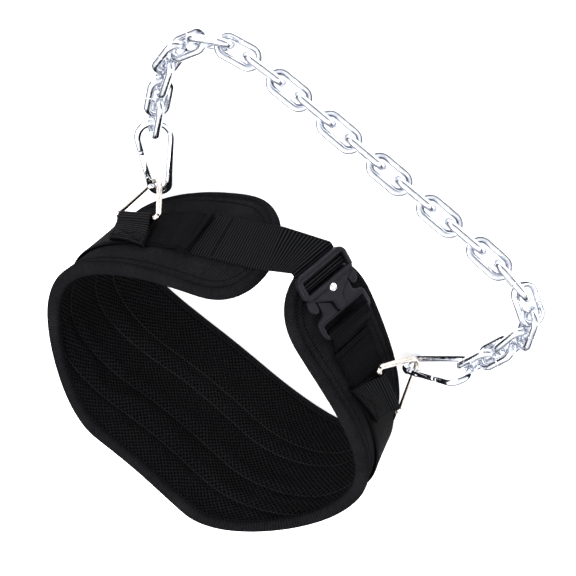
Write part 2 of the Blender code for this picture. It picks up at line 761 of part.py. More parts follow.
def chain_places():
    """Middle, heading and turn of each link along a smooth line through the route, spaced by its shares."""
    left, right = (hook_matrix(name) @ Vector((HOOK_REACH, 0, 0)) for name in ("left", "right"))
    middle = (left + right) / 2
    half = (left.x - right.x) / 2
    route = [Vector((middle.x + half * x, middle.y + y, share)) for x, y, share in CHAIN_ROUTE]
    ends = [2 * route[0] - route[1]] + route + [2 * route[-1] - route[-2]]
    fine = []
    for number in range(1, len(ends) - 2):
        a, b, c, d = ends[number - 1:number + 3]
        for part in range(40):
            t = part / 40
            fine.append(0.5 * (2 * b + (c - a) * t + (2 * a - 5 * b + 4 * c - d) * t * t
                               + (3 * b - a - 3 * c + d) * t ** 3))
    fine.append(route[-1])
    length = [0.0]
    for before, after in zip(fine, fine[1:]):
        length.append(length[-1] + (after.xy - before.xy).length / after.z)
    wanted = [length[-1] * number / (LINK_COUNT - 1) for number in range(LINK_COUNT)]
    x = np.interp(wanted, length, [point.x for point in fine])
    y = np.interp(wanted, length, [point.y for point in fine])
    spots = [Vector((a, b, 0)) for a, b in zip(x, y)]
    steps = [after - before for before, after in zip(spots, spots[1:])]
    near = [steps[max(number - 1, 0):number + 1] for number in range(LINK_COUNT)]
    headings = [sum(pair, Vector((0, 0, 0))).normalized() for pair in near]
    bends = [math.degrees(after.angle(before)) for before, after in zip(headings, headings[1:])]
    turns = [np.mean(bends[max(number - 1, 0):number + 1]) for number in range(LINK_COUNT)]
    return list(zip(spots, headings, turns))


def link_line(number, spot, heading, turn):
    """A link's middle line where it lies on the ground, rolled the other way from the link before it."""
    roll = math.radians(LINK_ROLL if number % 2 else LINK_ROLL - 90)
    side = Vector((-heading.y, heading.x, 0))
    across = side * math.cos(roll) + Vector((0, 0, math.sin(roll)))
    height = (LINK_WIRE + LINK_PLAY) * abs(math.sin(roll)) + LINK_WIRE / 2
    height += LINK_LIFT * min(turn / 25, 1) * (number % 2)
    middle = spot + Vector((0, 0, height))
    return [middle + heading * point.x + across * point.y for point in link_outline()]


def build_chain():
    for number, place in enumerate(chain_places()):
        wire("link_%02d" % (number + 1), link_line(number, *place), LINK_WIRE / 2, ZINC, resolution=1)


def center_on_ground():
    """Move everything so that the origin lies under the middle of the whole belt, on the ground."""
    bpy.context.view_layer.update()
    graph = bpy.context.evaluated_depsgraph_get()
    low = Vector((1e9, 1e9, 1e9))
    high = -low
    for part in PARTS.objects:
        if part.type == "EMPTY":
            continue
        shape = part.evaluated_get(graph)
        mesh = shape.to_mesh()
        for vertex in mesh.vertices:
            place = shape.matrix_world @ vertex.co
            for axis in range(3):
                low[axis] = min(low[axis], place[axis])
                high[axis] = max(high[axis], place[axis])
        shape.to_mesh_clear()
    shift = Matrix.Translation((-(low.x + high.x) / 2, -(low.y + high.y) / 2, -low.z))
    for item in list(PARTS.objects) + list(CUTTERS.objects):
        if item.parent is None:
            item.matrix_world = shift @ item.matrix_world
    print("shift", tuple(round(value, 6) for value in shift.translation))


for leftover in list(bpy.data.objects):
    bpy.data.objects.remove(leftover)
PARTS = make_collection("dip_belt")
CUTTERS = make_collection("cutters")
build_pad()
build_binding()
build_load_strap()
build_long_strap()
build_short_strap()
build_buckle()
for side_name in ("left", "right"):
    build_ring_loop(side_name)
    build_ring(side_name)
    build_hook(side_name)
build_chain()
center_on_ground()
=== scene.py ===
import math

import bmesh
import bpy
import numpy as np
from mathutils import Matrix, Vector, noise


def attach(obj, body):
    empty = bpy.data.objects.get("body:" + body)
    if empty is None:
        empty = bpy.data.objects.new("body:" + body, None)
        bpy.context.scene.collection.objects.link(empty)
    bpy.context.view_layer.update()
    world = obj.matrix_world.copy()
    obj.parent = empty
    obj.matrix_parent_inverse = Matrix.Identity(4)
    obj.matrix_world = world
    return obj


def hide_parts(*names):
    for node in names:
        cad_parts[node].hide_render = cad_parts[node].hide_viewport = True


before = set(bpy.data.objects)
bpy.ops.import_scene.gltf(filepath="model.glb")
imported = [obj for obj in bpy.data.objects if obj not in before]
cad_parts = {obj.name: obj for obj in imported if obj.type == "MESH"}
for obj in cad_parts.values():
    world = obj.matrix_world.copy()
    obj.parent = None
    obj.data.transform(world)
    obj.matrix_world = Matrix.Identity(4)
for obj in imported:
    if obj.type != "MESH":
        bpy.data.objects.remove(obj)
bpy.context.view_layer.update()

# ------------------------------------------------------------------ waist pad
# The lumbar pad is one band of foam, wide at the back and tapered to two round tongues.
# It has black canvas outside and a spacer-mesh lining inside, quilted through along four
# long seams, so the lining swells between them. It stands on its lower edge.
PLACE = Vector((0.006513, 0.055575, 0))
LOOP_HALF_WIDTH = 0.124
LOOP_HALF_DEPTH = 0.118
# Wave, cosine share of width, sine share of width, sine share of depth, cosine share of depth.
LOOP_WAVES = [
    (1, 1.00, 0.00, 1.00, 0.000),
    (2, 0.00, 0.21, -0.05, 0.135),
    (3, 0.17, 0.00, 0.08, 0.000),
]
LEAN_BACK, LEAN_SIDES, LEAN_FRONT, LEAN_SKEW = 8.0, 12.0, -20.0, 3.0
BACK_HEIGHT = 0.166
LEFT_TONGUE_HEIGHT, RIGHT_TONGUE_HEIGHT = 0.110, 0.090
TAPER_START, TAPER_END = 0.050, 0.182
FRONT_LIFT, FRONT_SKEW, SETTLE = 0.020, 0.006, 0.0016
LEFT_END, RIGHT_END, END_ROUND = 0.382, 0.397, 0.058
HALF_PAD = 0.005
PAD_CELL = 0.004
PAD_INSET = 0.0065
PAD_SWELL = 0.0045
SEAM_DEPTH = 0.0030
SEAM_SPREAD = 0.0036
CANVAS_PROUD, CREASE, RIPPLE = 0.0002, 0.0006, 0.0004
PUCKER, PUCKERS_PER_METRE = 0.0003, 760
CLOTH_FRAMES = 20
LINING_CLOTH = {
    "quality": 6, "mass": 0.25, "tension_stiffness": 10, "compression_stiffness": 10,
    "bending_stiffness": 1.5, "shrink_min": -0.012, "use_pressure": True, "uniform_pressure_force": 4,
}
TONGUE_SEAM = 0.019
TONGUE_EDGE_SEAM = 0.020
# Seam, height at the back, how much higher it is on the left side, and on the right side.
PAD_SEAMS = [
    ("lower", -0.0345, 0.012, 0.012),
    ("strap lower", -0.0160, 0.018, 0.009),
    ("strap upper", 0.0200, 0.016, 0.008),
    ("upper", 0.0470, 0.013, 0.002),
]
# Rows of cells from the lower edge to each seam and to the upper edge.
PAD_CHANNEL_ROWS = [13, 5, 10, 8, 10]


def wave(turn):
    return 0.5 - 0.5 * math.cos(turn)


def smooth(share):
    share = min(max(share, 0), 1)
    return share * share * (3 - 2 * share)


def trace_loop(count=1440):
    """The belt's middle line from above, clockwise from the back, with its running length."""
    turn = math.pi / 2 - np.linspace(0, 2 * math.pi, count + 1)
    x = np.zeros(count + 1)
    y = np.zeros(count + 1)
    for number, x_cos, x_sin, y_sin, y_cos in LOOP_WAVES:
        x += LOOP_HALF_WIDTH * (x_cos * np.cos(number * turn) + x_sin * np.sin(number * turn))
        y += LOOP_HALF_DEPTH * (y_sin * np.sin(number * turn) + y_cos * np.cos(number * turn))
    return np.concatenate([[0], np.cumsum(np.hypot(np.diff(x), np.diff(y)))]), x, y


RUNS, LOOP_X, LOOP_Y = trace_loop()
LOOP_LENGTH = float(RUNS[-1])


def loop_xy(run):
    run = run % LOOP_LENGTH
    return PLACE + Vector((np.interp(run, RUNS, LOOP_X), np.interp(run, RUNS, LOOP_Y), 0))


def half_height(run):
    """Half the band's height: the wide back, then a smooth taper to each tongue."""
    side = math.tanh(run / TAPER_START)
    mean = (LEFT_TONGUE_HEIGHT + RIGHT_TONGUE_HEIGHT) / 2
    tongue = (mean + side * (LEFT_TONGUE_HEIGHT - RIGHT_TONGUE_HEIGHT) / 2) / 2
    share = smooth((TAPER_END - abs(run)) / (TAPER_END - TAPER_START))
    return tongue + (BACK_HEIGHT / 2 - tongue) * share


def wall_frame(run):
    """Foot of the wall's middle line there, with the directions along, up and out of the wall."""
    step = 0.001
    along = (loop_xy(run + step) - loop_xy(run - step)).normalized()
    level_out = Vector((-along.y, along.x, 0))
    turn = 2 * math.pi * run / LOOP_LENGTH
    front = wave(turn)
    lean = LEAN_BACK + (LEAN_FRONT - LEAN_BACK) * front + LEAN_SIDES * wave(2 * turn)
    lean = math.radians(lean - LEAN_SKEW * math.sin(turn))
    up = Vector((0, 0, math.cos(lean))) + level_out * math.sin(lean)
    out = level_out * math.cos(lean) - Vector((0, 0, math.sin(lean)))
    height = half_height(run) * math.cos(lean) + FRONT_LIFT * front ** 4
    height -= 2 * FRONT_SKEW * math.sin(turn) * front ** 2 + SETTLE
    return loop_xy(run) + Vector((0, 0, height)), along, up, out


def on_wall(run, rise, out_by):
    foot, along, up, out = wall_frame(run)
    return foot + up * rise + out * out_by


def steps(start, stop, step):
    count = max(1, round(abs(stop - start) / step))
    return [start + (stop - start) * number / count for number in range(count + 1)]


def seam_rise(row, run):
    """Height of one quilting seam: it bows up beside the back and runs level along the tongues."""
    name, back, left, right = row
    side_rise = back + (left if run > 0 else right) * smooth(abs(run) / 0.14) ** 2
    edge = half_height(run) - TONGUE_EDGE_SEAM
    tongue = math.copysign(TONGUE_SEAM if "strap" in name else edge, back)
    return side_rise + (tongue - side_rise) * smooth((abs(run) - 0.13) / 0.08)


def band_column(run):
    """Shares of the half height at each row of cells, with rows that fall exactly on the seams."""
    half = half_height(run) - PAD_INSET
    knots = [-half] + [seam_rise(row, run) for row in PAD_SEAMS] + [half]
    shares = [-1.0]
    for low, high, rows in zip(knots, knots[1:], PAD_CHANNEL_ROWS):
        shares += [(low + (high - low) * number / rows) / half for number in range(1, rows + 1)]
    return [share * 0.998 for share in shares]


def band_grid():
    """(run, rise) of every column and row of the pad, from the right tongue's tip to the left one's."""
    middle = steps(END_ROUND - RIGHT_END, LEFT_END - END_ROUND, PAD_CELL)
    grid = []
    for run in middle:
        half = half_height(run) - PAD_INSET
        grid.append([(run, half * share) for share in band_column(run)])
    ends = []
    for side, base in ((-1, middle[0]), (1, middle[-1])):
        cap = []
        for part in steps(0, 1, PAD_CELL / END_ROUND)[1:]:
            column = []
            for share in band_column(base):
                reach = (END_ROUND - PAD_INSET) * math.cos(math.asin(share)) ** 0.8
                tip = base + side * reach
                half = (half_height(base) - PAD_INSET) * (1 - part) + (half_height(tip) - PAD_INSET) * part
                column.append((base + side * reach * part, half * share))
            cap.append(column)
        ends.append(cap)
    return ends[0][::-1] + grid + ends[1]


def seam_groove(run, rise):
    depth = 0
    for row in PAD_SEAMS:
        depth = max(depth, math.exp(-((rise - seam_rise(row, run)) / SEAM_SPREAD) ** 2))
    return depth * SEAM_DEPTH


def smooth_shaded(piece):
    for face in piece.data.polygons:
        face.use_smooth = True
    return piece


def show(name, mesh):
    piece = bpy.data.objects.new(name, mesh)
    bpy.context.scene.collection.objects.link(piece)
    return piece


def grid_mesh(name, grid, flip=False):
    """A mesh of quads over a grid of points, with the grid's own (u, v) places in metres as UV."""
    rows, columns = len(grid), len(grid[0])
    points = [entry[0] for row in grid for entry in row]
    quads = []
    for row in range(rows - 1):
        for column in range(columns - 1):
            first = row * columns + column
            quad = (first, first + 1, first + columns + 1, first + columns)
            quads.append(quad[::-1] if flip else quad)
    mesh = bpy.data.meshes.new(name)
    mesh.from_pydata(points, [], quads)
    spots = [entry[1] for row in grid for entry in row]
    layer_uv = mesh.uv_layers.new(name="cloth")
    for loop in mesh.loops:
        layer_uv.data[loop.index].uv = spots[loop.vertex_index]
    return mesh


def finished_mesh(piece):
    """What a piece's modifiers make of it, as a plain mesh; the piece itself is taken away."""
    bpy.context.view_layer.update()
    graph = bpy.context.evaluated_depsgraph_get()
    mesh = bpy.data.meshes.new_from_object(piece.evaluated_get(graph), preserve_all_data_layers=True,
                                           depsgraph=graph)
    bpy.data.objects.remove(piece)
    return mesh


def freeze(piece):
    """Replace a piece by its finished mesh, with no modifier left."""
    name = piece.name
    mesh = finished_mesh(piece)
    mesh.name = name
    return smooth_shaded(show(name, mesh))


def refined(piece):
    """One level of subdivision, applied."""
    fine = piece.modifiers.new("Fine", "SUBSURF")
    fine.levels = fine.render_levels = 1
    return freeze(piece)


def swell(lining, held, limit):
    """Blow the lining out between its seams, which are held, as foam does behind sewn cloth."""
    group = lining.vertex_groups.new(name="sewn")
    group.add(held, 1, "REPLACE")
    cloth = lining.modifiers.new("Foam behind the lining", "CLOTH")
    for key, value in LINING_CLOTH.items():
        setattr(cloth.settings, key, value)
    cloth.settings.vertex_group_mass = "sewn"
    cloth.settings.effector_weights.gravity = 0
    cloth.point_cache.frame_start = 1
    cloth.point_cache.frame_end = CLOTH_FRAMES
    start = [vertex.co.copy() for vertex in lining.data.vertices]
    for number in range(1, CLOTH_FRAMES + 1):
        bpy.context.scene.frame_set(number)
    graph = bpy.context.evaluated_depsgraph_get()
    shape = lining.evaluated_get(graph).to_mesh()
    blown = [vertex.co.copy() for vertex in shape.vertices]
    lining.modifiers.clear()
    bpy.context.scene.frame_set(1)
    for vertex, place, before in zip(lining.data.vertices, blown, start):
        move = place - before
        if move.length > limit:
            move *= limit / move.length
        vertex.co = before + move


def build_pad():
    """The two faces of the pad over one grid; the lining is blown out and both are joined at the rim."""
    places = band_grid()
    outer, inner = [], []
    for column in places:
        outer_column, inner_column = [], []
        for run, rise in column:
            foot, _, up, out = wall_frame(run)
            crease = noise.noise(Vector((run * 22, rise * 34, 0))) * smooth((abs(rise) - 0.024) / 0.012)
            ripple = noise.noise(Vector((run * 60, rise * 18, 5)))
            drift = noise.noise(Vector((run * 30, rise * 30, 2)))
            pucker = PUCKER * math.sin(run * PUCKERS_PER_METRE + 3 * drift)
            near = math.exp(-((seam_groove(run, rise) / SEAM_DEPTH - 0.45) / 0.3) ** 2)
            front = HALF_PAD + CANVAS_PROUD + CREASE * crease
            back = -HALF_PAD + seam_groove(run, rise) - RIPPLE * ripple + pucker * near
            outer_column.append((foot + up * rise + out * front, (run, rise)))
            inner_column.append((foot + up * rise + out * back, (run, rise)))
        outer.append(outer_column)
        inner.append(inner_column)
    rows = len(places[0])
    lining = show("pad_lining", grid_mesh("pad_lining", inner))
    marks = [0]
    for count in PAD_CHANNEL_ROWS:
        marks.append(marks[-1] + count)
    held = [column * rows + mark for column in range(len(places)) for mark in marks]
    held += list(range(rows)) + list(range((len(places) - 1) * rows, len(places) * rows))
    swell(lining, held, PAD_SWELL)
    canvas = grid_mesh("pad_canvas", outer, flip=True)
    bm = bmesh.new()
    bm.from_mesh(lining.data)
    for face in bm.faces:
        face.material_index = 1
    bm.from_mesh(canvas)
    rims = [edge for edge in bm.edges if edge.is_boundary]
    bmesh.ops.bridge_loops(bm, edges=rims)
    bmesh.ops.recalc_face_normals(bm, faces=bm.faces)
    mesh = bpy.data.meshes.new("padded_band")
    bm.to_mesh(mesh)
    bm.free()
    mesh.materials.append(CANVAS)
    mesh.materials.append(LINING)
    bpy.data.objects.remove(lining)
    return refined(show("padded_band", mesh))


def feed(tree, socket, value):
    """Feed a socket from another one, or give it its own value."""
    if isinstance(value, bpy.types.NodeSocket):
        tree.links.new(value, socket)
    else:
        socket.default_value = value


def node(tree, kind, settings=None, **wires):
    """Add a node, set its options, and fill its sockets: in_0 is the first, others go by name."""
    made = tree.nodes.new(kind)
    for key, value in (settings or {}).items():
        setattr(made, key, value)
    for key, value in wires.items():
        feed(tree, made.inputs[int(key[3:]) if key[:3] == "in_" else key.replace("_", " ")], value)
    return made


def calc(tree, operation, first, second=0.0):
    return node(tree, "ShaderNodeMath", {"operation": operation}, in_0=first, in_1=second).outputs[0]


def shader_group(name, inputs, outputs):
    """An empty shader group with named float or vector inputs and float outputs."""
    group = bpy.data.node_groups.new(name, "ShaderNodeTree")
    for label, value in inputs:
        kind = "NodeSocketVector" if value is None else "NodeSocketFloat"
        socket = group.interface.new_socket(name=label, in_out="INPUT", socket_type=kind)
        if value is not None:
            socket.default_value = value
    for label in outputs:
        group.interface.new_socket(name=label, in_out="OUTPUT", socket_type="NodeSocketFloat")
    return group, group.nodes.new("NodeGroupInput").outputs, group.nodes.new("NodeGroupOutput").inputs


def make_weave():
    """Over-and-under threads: two crossing rib patterns that take turns like a checkerboard."""
    group, given, result = shader_group(
        "thread_weave", [("Place", None), ("Warp pitch", 0.001), ("Weft pitch", 0.001), ("Fray", 0.2)],
        ["Height", "Fleck"])
    drift = node(group, "ShaderNodeTexNoise", Vector=given["Place"], Scale=260.0, Detail=2.0)
    parts = node(group, "ShaderNodeSeparateXYZ", Vector=given["Place"])
    loose = calc(group, "MULTIPLY", calc(group, "SUBTRACT", drift.outputs["Fac"], 0.5), given["Fray"])
    warp = calc(group, "ADD", calc(group, "DIVIDE", parts.outputs[0], given["Warp pitch"]), loose)
    weft = calc(group, "ADD", calc(group, "DIVIDE", parts.outputs[1], given["Weft pitch"]), loose)
    spot = node(group, "ShaderNodeCombineXYZ", X=warp, Y=weft)
    turn = node(group, "ShaderNodeTexChecker", Vector=spot.outputs[0], Scale=1.0).outputs["Fac"]
    across = calc(group, "ABSOLUTE", calc(group, "SINE", calc(group, "MULTIPLY", warp, math.pi)))
    along = calc(group, "ABSOLUTE", calc(group, "SINE", calc(group, "MULTIPLY", weft, math.pi)))
    over = calc(group, "MULTIPLY", across, turn)
    under = calc(group, "MULTIPLY", along, calc(group, "SUBTRACT", 1.0, turn))
    group.links.new(calc(group, "ADD", over, under), result["Height"])
    group.links.new(drift.outputs["Fac"], result["Fleck"])
    return group


def make_dust():
    """Slow patches of wear and lint over a surface, from 0, clean, to 1, rubbed."""
    group, given, result = shader_group("lint_and_wear", [("Place", None), ("Size", 40.0), ("Edge", 0.55)],
                                        ["Worn", "Speck"])
    broad = node(group, "ShaderNodeTexNoise", Vector=given["Place"], Scale=given["Size"], Detail=5.0)
    speck = node(group, "ShaderNodeTexNoise", Vector=given["Place"], Scale=1500.0, Detail=1.0)
    worn = node(group, "ShaderNodeMapRange", in_0=broad.outputs["Fac"], in_1=given["Edge"], in_2=0.8)
    dots = node(group, "ShaderNodeMapRange", in_0=speck.outputs["Fac"], in_1=0.62, in_2=0.75)
    group.links.new(worn.outputs[0], result["Worn"])
    group.links.new(dots.outputs[0], result["Speck"])
    return group


def make_ribs():
    """Parallel ribs one pitch apart along the cloth's first direction, each a little uneven."""
    group, given, result = shader_group("cloth_ribs", [("Place", None), ("Pitch", 0.002), ("Wander", 0.3)],
                                        ["Height"])
    drift = node(group, "ShaderNodeTexNoise", Vector=given["Place"], Scale=90.0, Detail=3.0)
    parts = node(group, "ShaderNodeSeparateXYZ", Vector=given["Place"])
    loose = calc(group, "MULTIPLY", calc(group, "SUBTRACT", drift.outputs["Fac"], 0.5), given["Wander"])
    count = calc(group, "ADD", calc(group, "DIVIDE", parts.outputs[0], given["Pitch"]), loose)
    rib = calc(group, "ABSOLUTE", calc(group, "SINE", calc(group, "MULTIPLY", count, math.pi)))
    group.links.new(rib, result["Height"])
    return group


RIBS = make_ribs()
WEAVE = make_weave()
DUST = make_dust()


def use_group(tree, group, **wires):
    return node(tree, "ShaderNodeGroup", {"node_tree": group}, **wires).outputs


def mix_colors(tree, share, first, second):
    made = node(tree, "ShaderNodeMix", {"data_type": "RGBA"})
    for number, value in ((0, share), (6, first), (7, second)):
        feed(tree, made.inputs[number], (*value, 1) if isinstance(value, tuple) else value)
    return made.outputs[2]


def new_material(name, roughness, metallic=0.0, specular=0.5):
    material = bpy.data.materials.new(name)
    material.use_nodes = True
    shader = material.node_tree.nodes["Principled BSDF"]
    shader.inputs["Roughness"].default_value = roughness
    shader.inputs["Metallic"].default_value = metallic
    shader.inputs["Specular IOR Level"].default_value = specular
    return material, material.node_tree, shader


def raise_surface(tree, shader, height, distance, strength=1.0):
    bump = node(tree, "ShaderNodeBump", Height=height, Distance=distance, Strength=strength)
    tree.links.new(bump.outputs[0], shader.inputs["Normal"])


def canvas_finish(name, dark, light, rib, warp, weft, bump):
    """Woven cloth on the piece's own UV: ribs, threads, flecks, and lighter rubbed patches. The raised crowns
    are painted lighter and the hollows darker, painted highlight and painted shade varied by random flecks.
    """
    material, tree, shader = new_material(name, 0.85, specular=CLOTH_GLOSS)
    uv = node(tree, "ShaderNodeUVMap", {"uv_map": "cloth"}).outputs[0]
    threads = use_group(tree, WEAVE, Place=uv, Warp_pitch=warp, Weft_pitch=weft, Fray=0.35)
    dust = use_group(tree, DUST, Place=uv, Size=26.0, Edge=0.5)
    ribs = use_group(tree, RIBS, Place=uv, Pitch=rib, Wander=0.35)["Height"]
    raised = calc(tree, "MULTIPLY", threads["Height"], 0.35)
    height = calc(tree, "ADD", calc(tree, "MULTIPLY", ribs, 0.65), raised)
    # Painted highlight and painted shade: the colour runs from dark in the hollows to light on the raised
    # crowns of ribs and threads, varied by random flecks.
    lit = calc(tree, "MULTIPLY", height, calc(tree, "ADD", 0.5, threads["Fleck"]))
    base = mix_colors(tree, lit, dark, light)
    rubbed = mix_colors(tree, calc(tree, "MULTIPLY", dust["Worn"], 0.35), base, tuple(c * 1.6 for c in light))
    lint = mix_colors(tree, calc(tree, "MULTIPLY", dust["Speck"], 0.25), rubbed, tuple(c * 4 for c in light))
    tree.links.new(lint, shader.inputs["Base Color"])
    raise_surface(tree, shader, height, bump)
    return material


def lining_finish():
    """Spacer mesh: small round holes in diagonal rows through a knitted face; the holes are painted dark as
    painted shade, and the knit's raised threads are painted lighter as painted highlight.
    """
    material, tree, shader = new_material("spacer mesh lining", 0.9, specular=CLOTH_GLOSS)
    uv = node(tree, "ShaderNodeUVMap", {"uv_map": "cloth"}).outputs[0]
    turned = node(tree, "ShaderNodeMapping", Vector=uv, Rotation=(0, 0, math.radians(45)),
                  Scale=HOLES_PER_METRE)
    cells = node(tree, "ShaderNodeTexVoronoi", {"feature": "F1"}, Vector=turned.outputs[0], Scale=1.0,
                 Randomness=0.12)
    rim = node(tree, "ShaderNodeMapRange", in_0=cells.outputs["Distance"], in_1=0.26, in_2=0.46)
    threads = use_group(tree, WEAVE, Place=uv, Warp_pitch=0.0009, Weft_pitch=0.0007, Fray=0.4)
    dust = use_group(tree, DUST, Place=uv, Size=18.0, Edge=0.45)
    # Painted highlight and painted shade: the knit is darker between its threads and lighter on their raised
    # crowns.
    knit = mix_colors(tree, threads["Height"], (0.0036, 0.0036, 0.0040), (0.0112, 0.0112, 0.0122))
    faded = mix_colors(tree, calc(tree, "MULTIPLY", dust["Worn"], 0.4), knit, (0.0140, 0.0140, 0.0150))
    # Painted shade: the holes are painted near black where shade falls into them.
    holed = mix_colors(tree, rim.outputs[0], (0.0020, 0.0020, 0.0022), faded)
    tree.links.new(holed, shader.inputs["Base Color"])
    height = calc(tree, "ADD", rim.outputs[0], calc(tree, "MULTIPLY", threads["Height"], 0.25))
    raise_surface(tree, shader, height, 0.0007)
    return material


CLOTH_GLOSS = 0.0
HOLES_PER_METRE = (345, 345, 345)
# The darker colour is painted shade in the hollows, and the lighter one is painted highlight on the crowns
# and also the base of the rubbed and lint tones.
CANVAS = canvas_finish("black canvas", (0.0002, 0.0002, 0.0003), (0.0135, 0.0135, 0.0150),
                       0.0023, 0.0011, 0.0013, 0.0005)
LINING = lining_finish()

pad = build_pad()
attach(pad, "belt")
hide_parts("waist_pad")

# --------------------------------------------------------------- edge binding
# A woven tape folded round the pad's whole edge and sewn through with one row on each face.
# It closes canvas, foam and lining together, and the belt stands on its lower run.
BINDING_EXTRA = 0.0008
BINDING_HALF = HALF_PAD + BINDING_EXTRA
BINDING_STITCH_IN = 0.0062
CANVAS_ROW_IN = 0.0130
EDGE_STEP = 0.003
GIRTH_WANDER = 0.03
MERGE = 0.00001
# Depth inwards from the edge, share of the tape's half thickness.
BINDING_SECTION = [
    (0.0080, 0.93), (0.0077, 1.00), (0.0068, 1.00), (0.0060, 0.95), (0.0052, 1.02), (0.0034, 1.05),
    (0.0017, 0.92), (0.0006, 0.66), (0.0000, 0.34), (0.0000, 0.0),
]


def edge_line(step=0.0035):
    """The band's outline as (run, rise) points, once round: lower edge, left end, top, right end."""
    def tip(side, angle):
        base = side * ((LEFT_END if side > 0 else RIGHT_END) - END_ROUND)
        run = base + side * END_ROUND * max(math.cos(angle), 0) ** 0.8
        return Vector((run, half_height(run) * math.sin(angle)))

    middle = steps(END_ROUND - RIGHT_END, LEFT_END - END_ROUND, step)
    angles = [math.radians(angle) for angle in steps(-90, 90, 4)]
    lower = [Vector((run, -half_height(run))) for run in middle[1:-1]]
    upper = [Vector((run, half_height(run))) for run in reversed(middle[1:-1])]
    left = [tip(1, angle) for angle in angles]
    right = [tip(-1, angle) for angle in reversed(angles)]
    return lower + left + upper + right


def even_loop(points, step):
    """The same outline with its points an even step apart."""
    line = np.array([tuple(point) for point in points + points[:1]])
    length = np.concatenate([[0], np.cumsum(np.hypot(*np.diff(line, axis=0).T))])
    wanted = np.linspace(0, length[-1], round(length[-1] / step) + 1)[:-1]
    return [Vector((x, y)) for x, y in zip(np.interp(wanted, length, line[:, 0]),
                                           np.interp(wanted, length, line[:, 1]))]


def inward(points, number):
    before, after = points[number - 3], points[(number + 3) % len(points)]
    along = (after - before).normalized()
    return Vector((-along.y, along.x))


EDGE = even_loop(edge_line(), EDGE_STEP)


def welded(mesh, distance=0.0):
    """The same shape with doubled points merged and its faces turned outwards."""
    bm = bmesh.new()
    bm.from_mesh(mesh)
    if distance:
        bmesh.ops.remove_doubles(bm, verts=bm.verts, dist=distance)
    bmesh.ops.recalc_face_normals(bm, faces=bm.faces)
    bm.to_mesh(mesh)
    bm.free()
    return mesh


def build_binding():
    section = BINDING_SECTION + [(depth, -share) for depth, share in reversed(BINDING_SECTION[:-1])]
    grid = []
    length = 0
    for number in range(len(EDGE) + 1):
        point = EDGE[number % len(EDGE)]
        step = inward(EDGE, number % len(EDGE))
        girth = 1 + GIRTH_WANDER * noise.noise(Vector((length * 45, 0, 0)))
        row = []
        for spot, (depth, share) in enumerate(section + section[:1]):
            place = point + step * depth
            corner = on_wall(place.x, place.y, BINDING_HALF * share * girth)
            corner.z = max(corner.z, 0)
            row.append((corner, (length, spot * 0.0016)))
        grid.append(row)
        length += EDGE_STEP
    return refined(show("edge_tape", welded(grid_mesh("edge_tape", grid), MERGE)))


# The darker colour is painted shade in the hollows, and the lighter one is painted highlight on the crowns
# and also the base of the rubbed and lint tones.
TAPE = canvas_finish("edge tape", (0.0006, 0.0006, 0.0008), (0.0112, 0.0112, 0.0126),
                     0.0019, 0.0011, 0.0009, 0.0004)
binding = build_binding()
binding.data.materials.append(TAPE)
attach(binding, "belt")
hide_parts("edge_binding")


# ----------------------------------------------------------------- load strap
# Heavy black webbing sewn right round the outside, which carries the rings' pull.
# Its two ends lie over the tucked ends of the buckle straps, and the left one ends in a hem.
STRAP_WIDTH = 0.046
WEB_THICKNESS = 0.0018
GAP = 0.0004
HALF_WEB = WEB_THICKNESS / 2
LOAD_LEFT_END, LOAD_RIGHT_END, TUCK = 0.308, 0.324, 0.014
WEB_STEP = 0.0022
WEB_RIB = 0.0026
WEB_COLUMNS = 10


def layer(number):
    """Middle of the numbered layer of webbing on the outer face."""
    return HALF_PAD + BINDING_EXTRA + number * GAP + (number - 0.5) * WEB_THICKNESS


def across(width=STRAP_WIDTH):
    return [width * (number / WEB_COLUMNS - 0.5) for number in range(WEB_COLUMNS + 1)]


def wall_rows(places):
    return [[on_wall(run, rise + v, out_by) for v in across()] for run, rise, out_by in places]


def webbing(name, rows, soften=2, crumple=0.0, seed=0, step=WEB_STEP):
    """A strap over rows of points: evened out along its length, softened at its bends, and thickened."""
    line = np.array([[tuple(point) for point in row] for row in rows])
    middle = line[:, line.shape[1] // 2]
    length = np.concatenate([[0], np.cumsum(np.linalg.norm(np.diff(middle, axis=0), axis=1))])
    wanted = np.linspace(0, length[-1], max(3, round(length[-1] / step) + 1))
    even = np.empty((len(wanted), line.shape[1], 3))
    for column in range(line.shape[1]):
        for axis in range(3):
            even[:, column, axis] = np.interp(wanted, length, line[:, column, axis])
    for _ in range(soften):
        even[1:-1] = 0.5 * even[1:-1] + 0.25 * (even[:-2] + even[2:])
    wide = np.concatenate([[0], np.cumsum(np.linalg.norm(np.diff(even[0], axis=0), axis=1))])
    grid = []
    for number, row in enumerate(even):
        grid.append([(Vector(point), (wide[column], wanted[number])) for column, point in enumerate(row)])
    mesh = grid_mesh(name, grid)
    if crumple:
        mesh.update()
        for vertex in mesh.vertices:
            place = vertex.co * 55 + Vector((seed, 0, 0))
            vertex.co += vertex.normal * crumple * noise.noise(place)
    strap = show(name, mesh)
    wall = strap.modifiers.new("Thickness", "SOLIDIFY")
    wall.thickness = WEB_THICKNESS
    wall.offset = 0
    strap = refined(strap)
    welded(strap.data)
    return strap


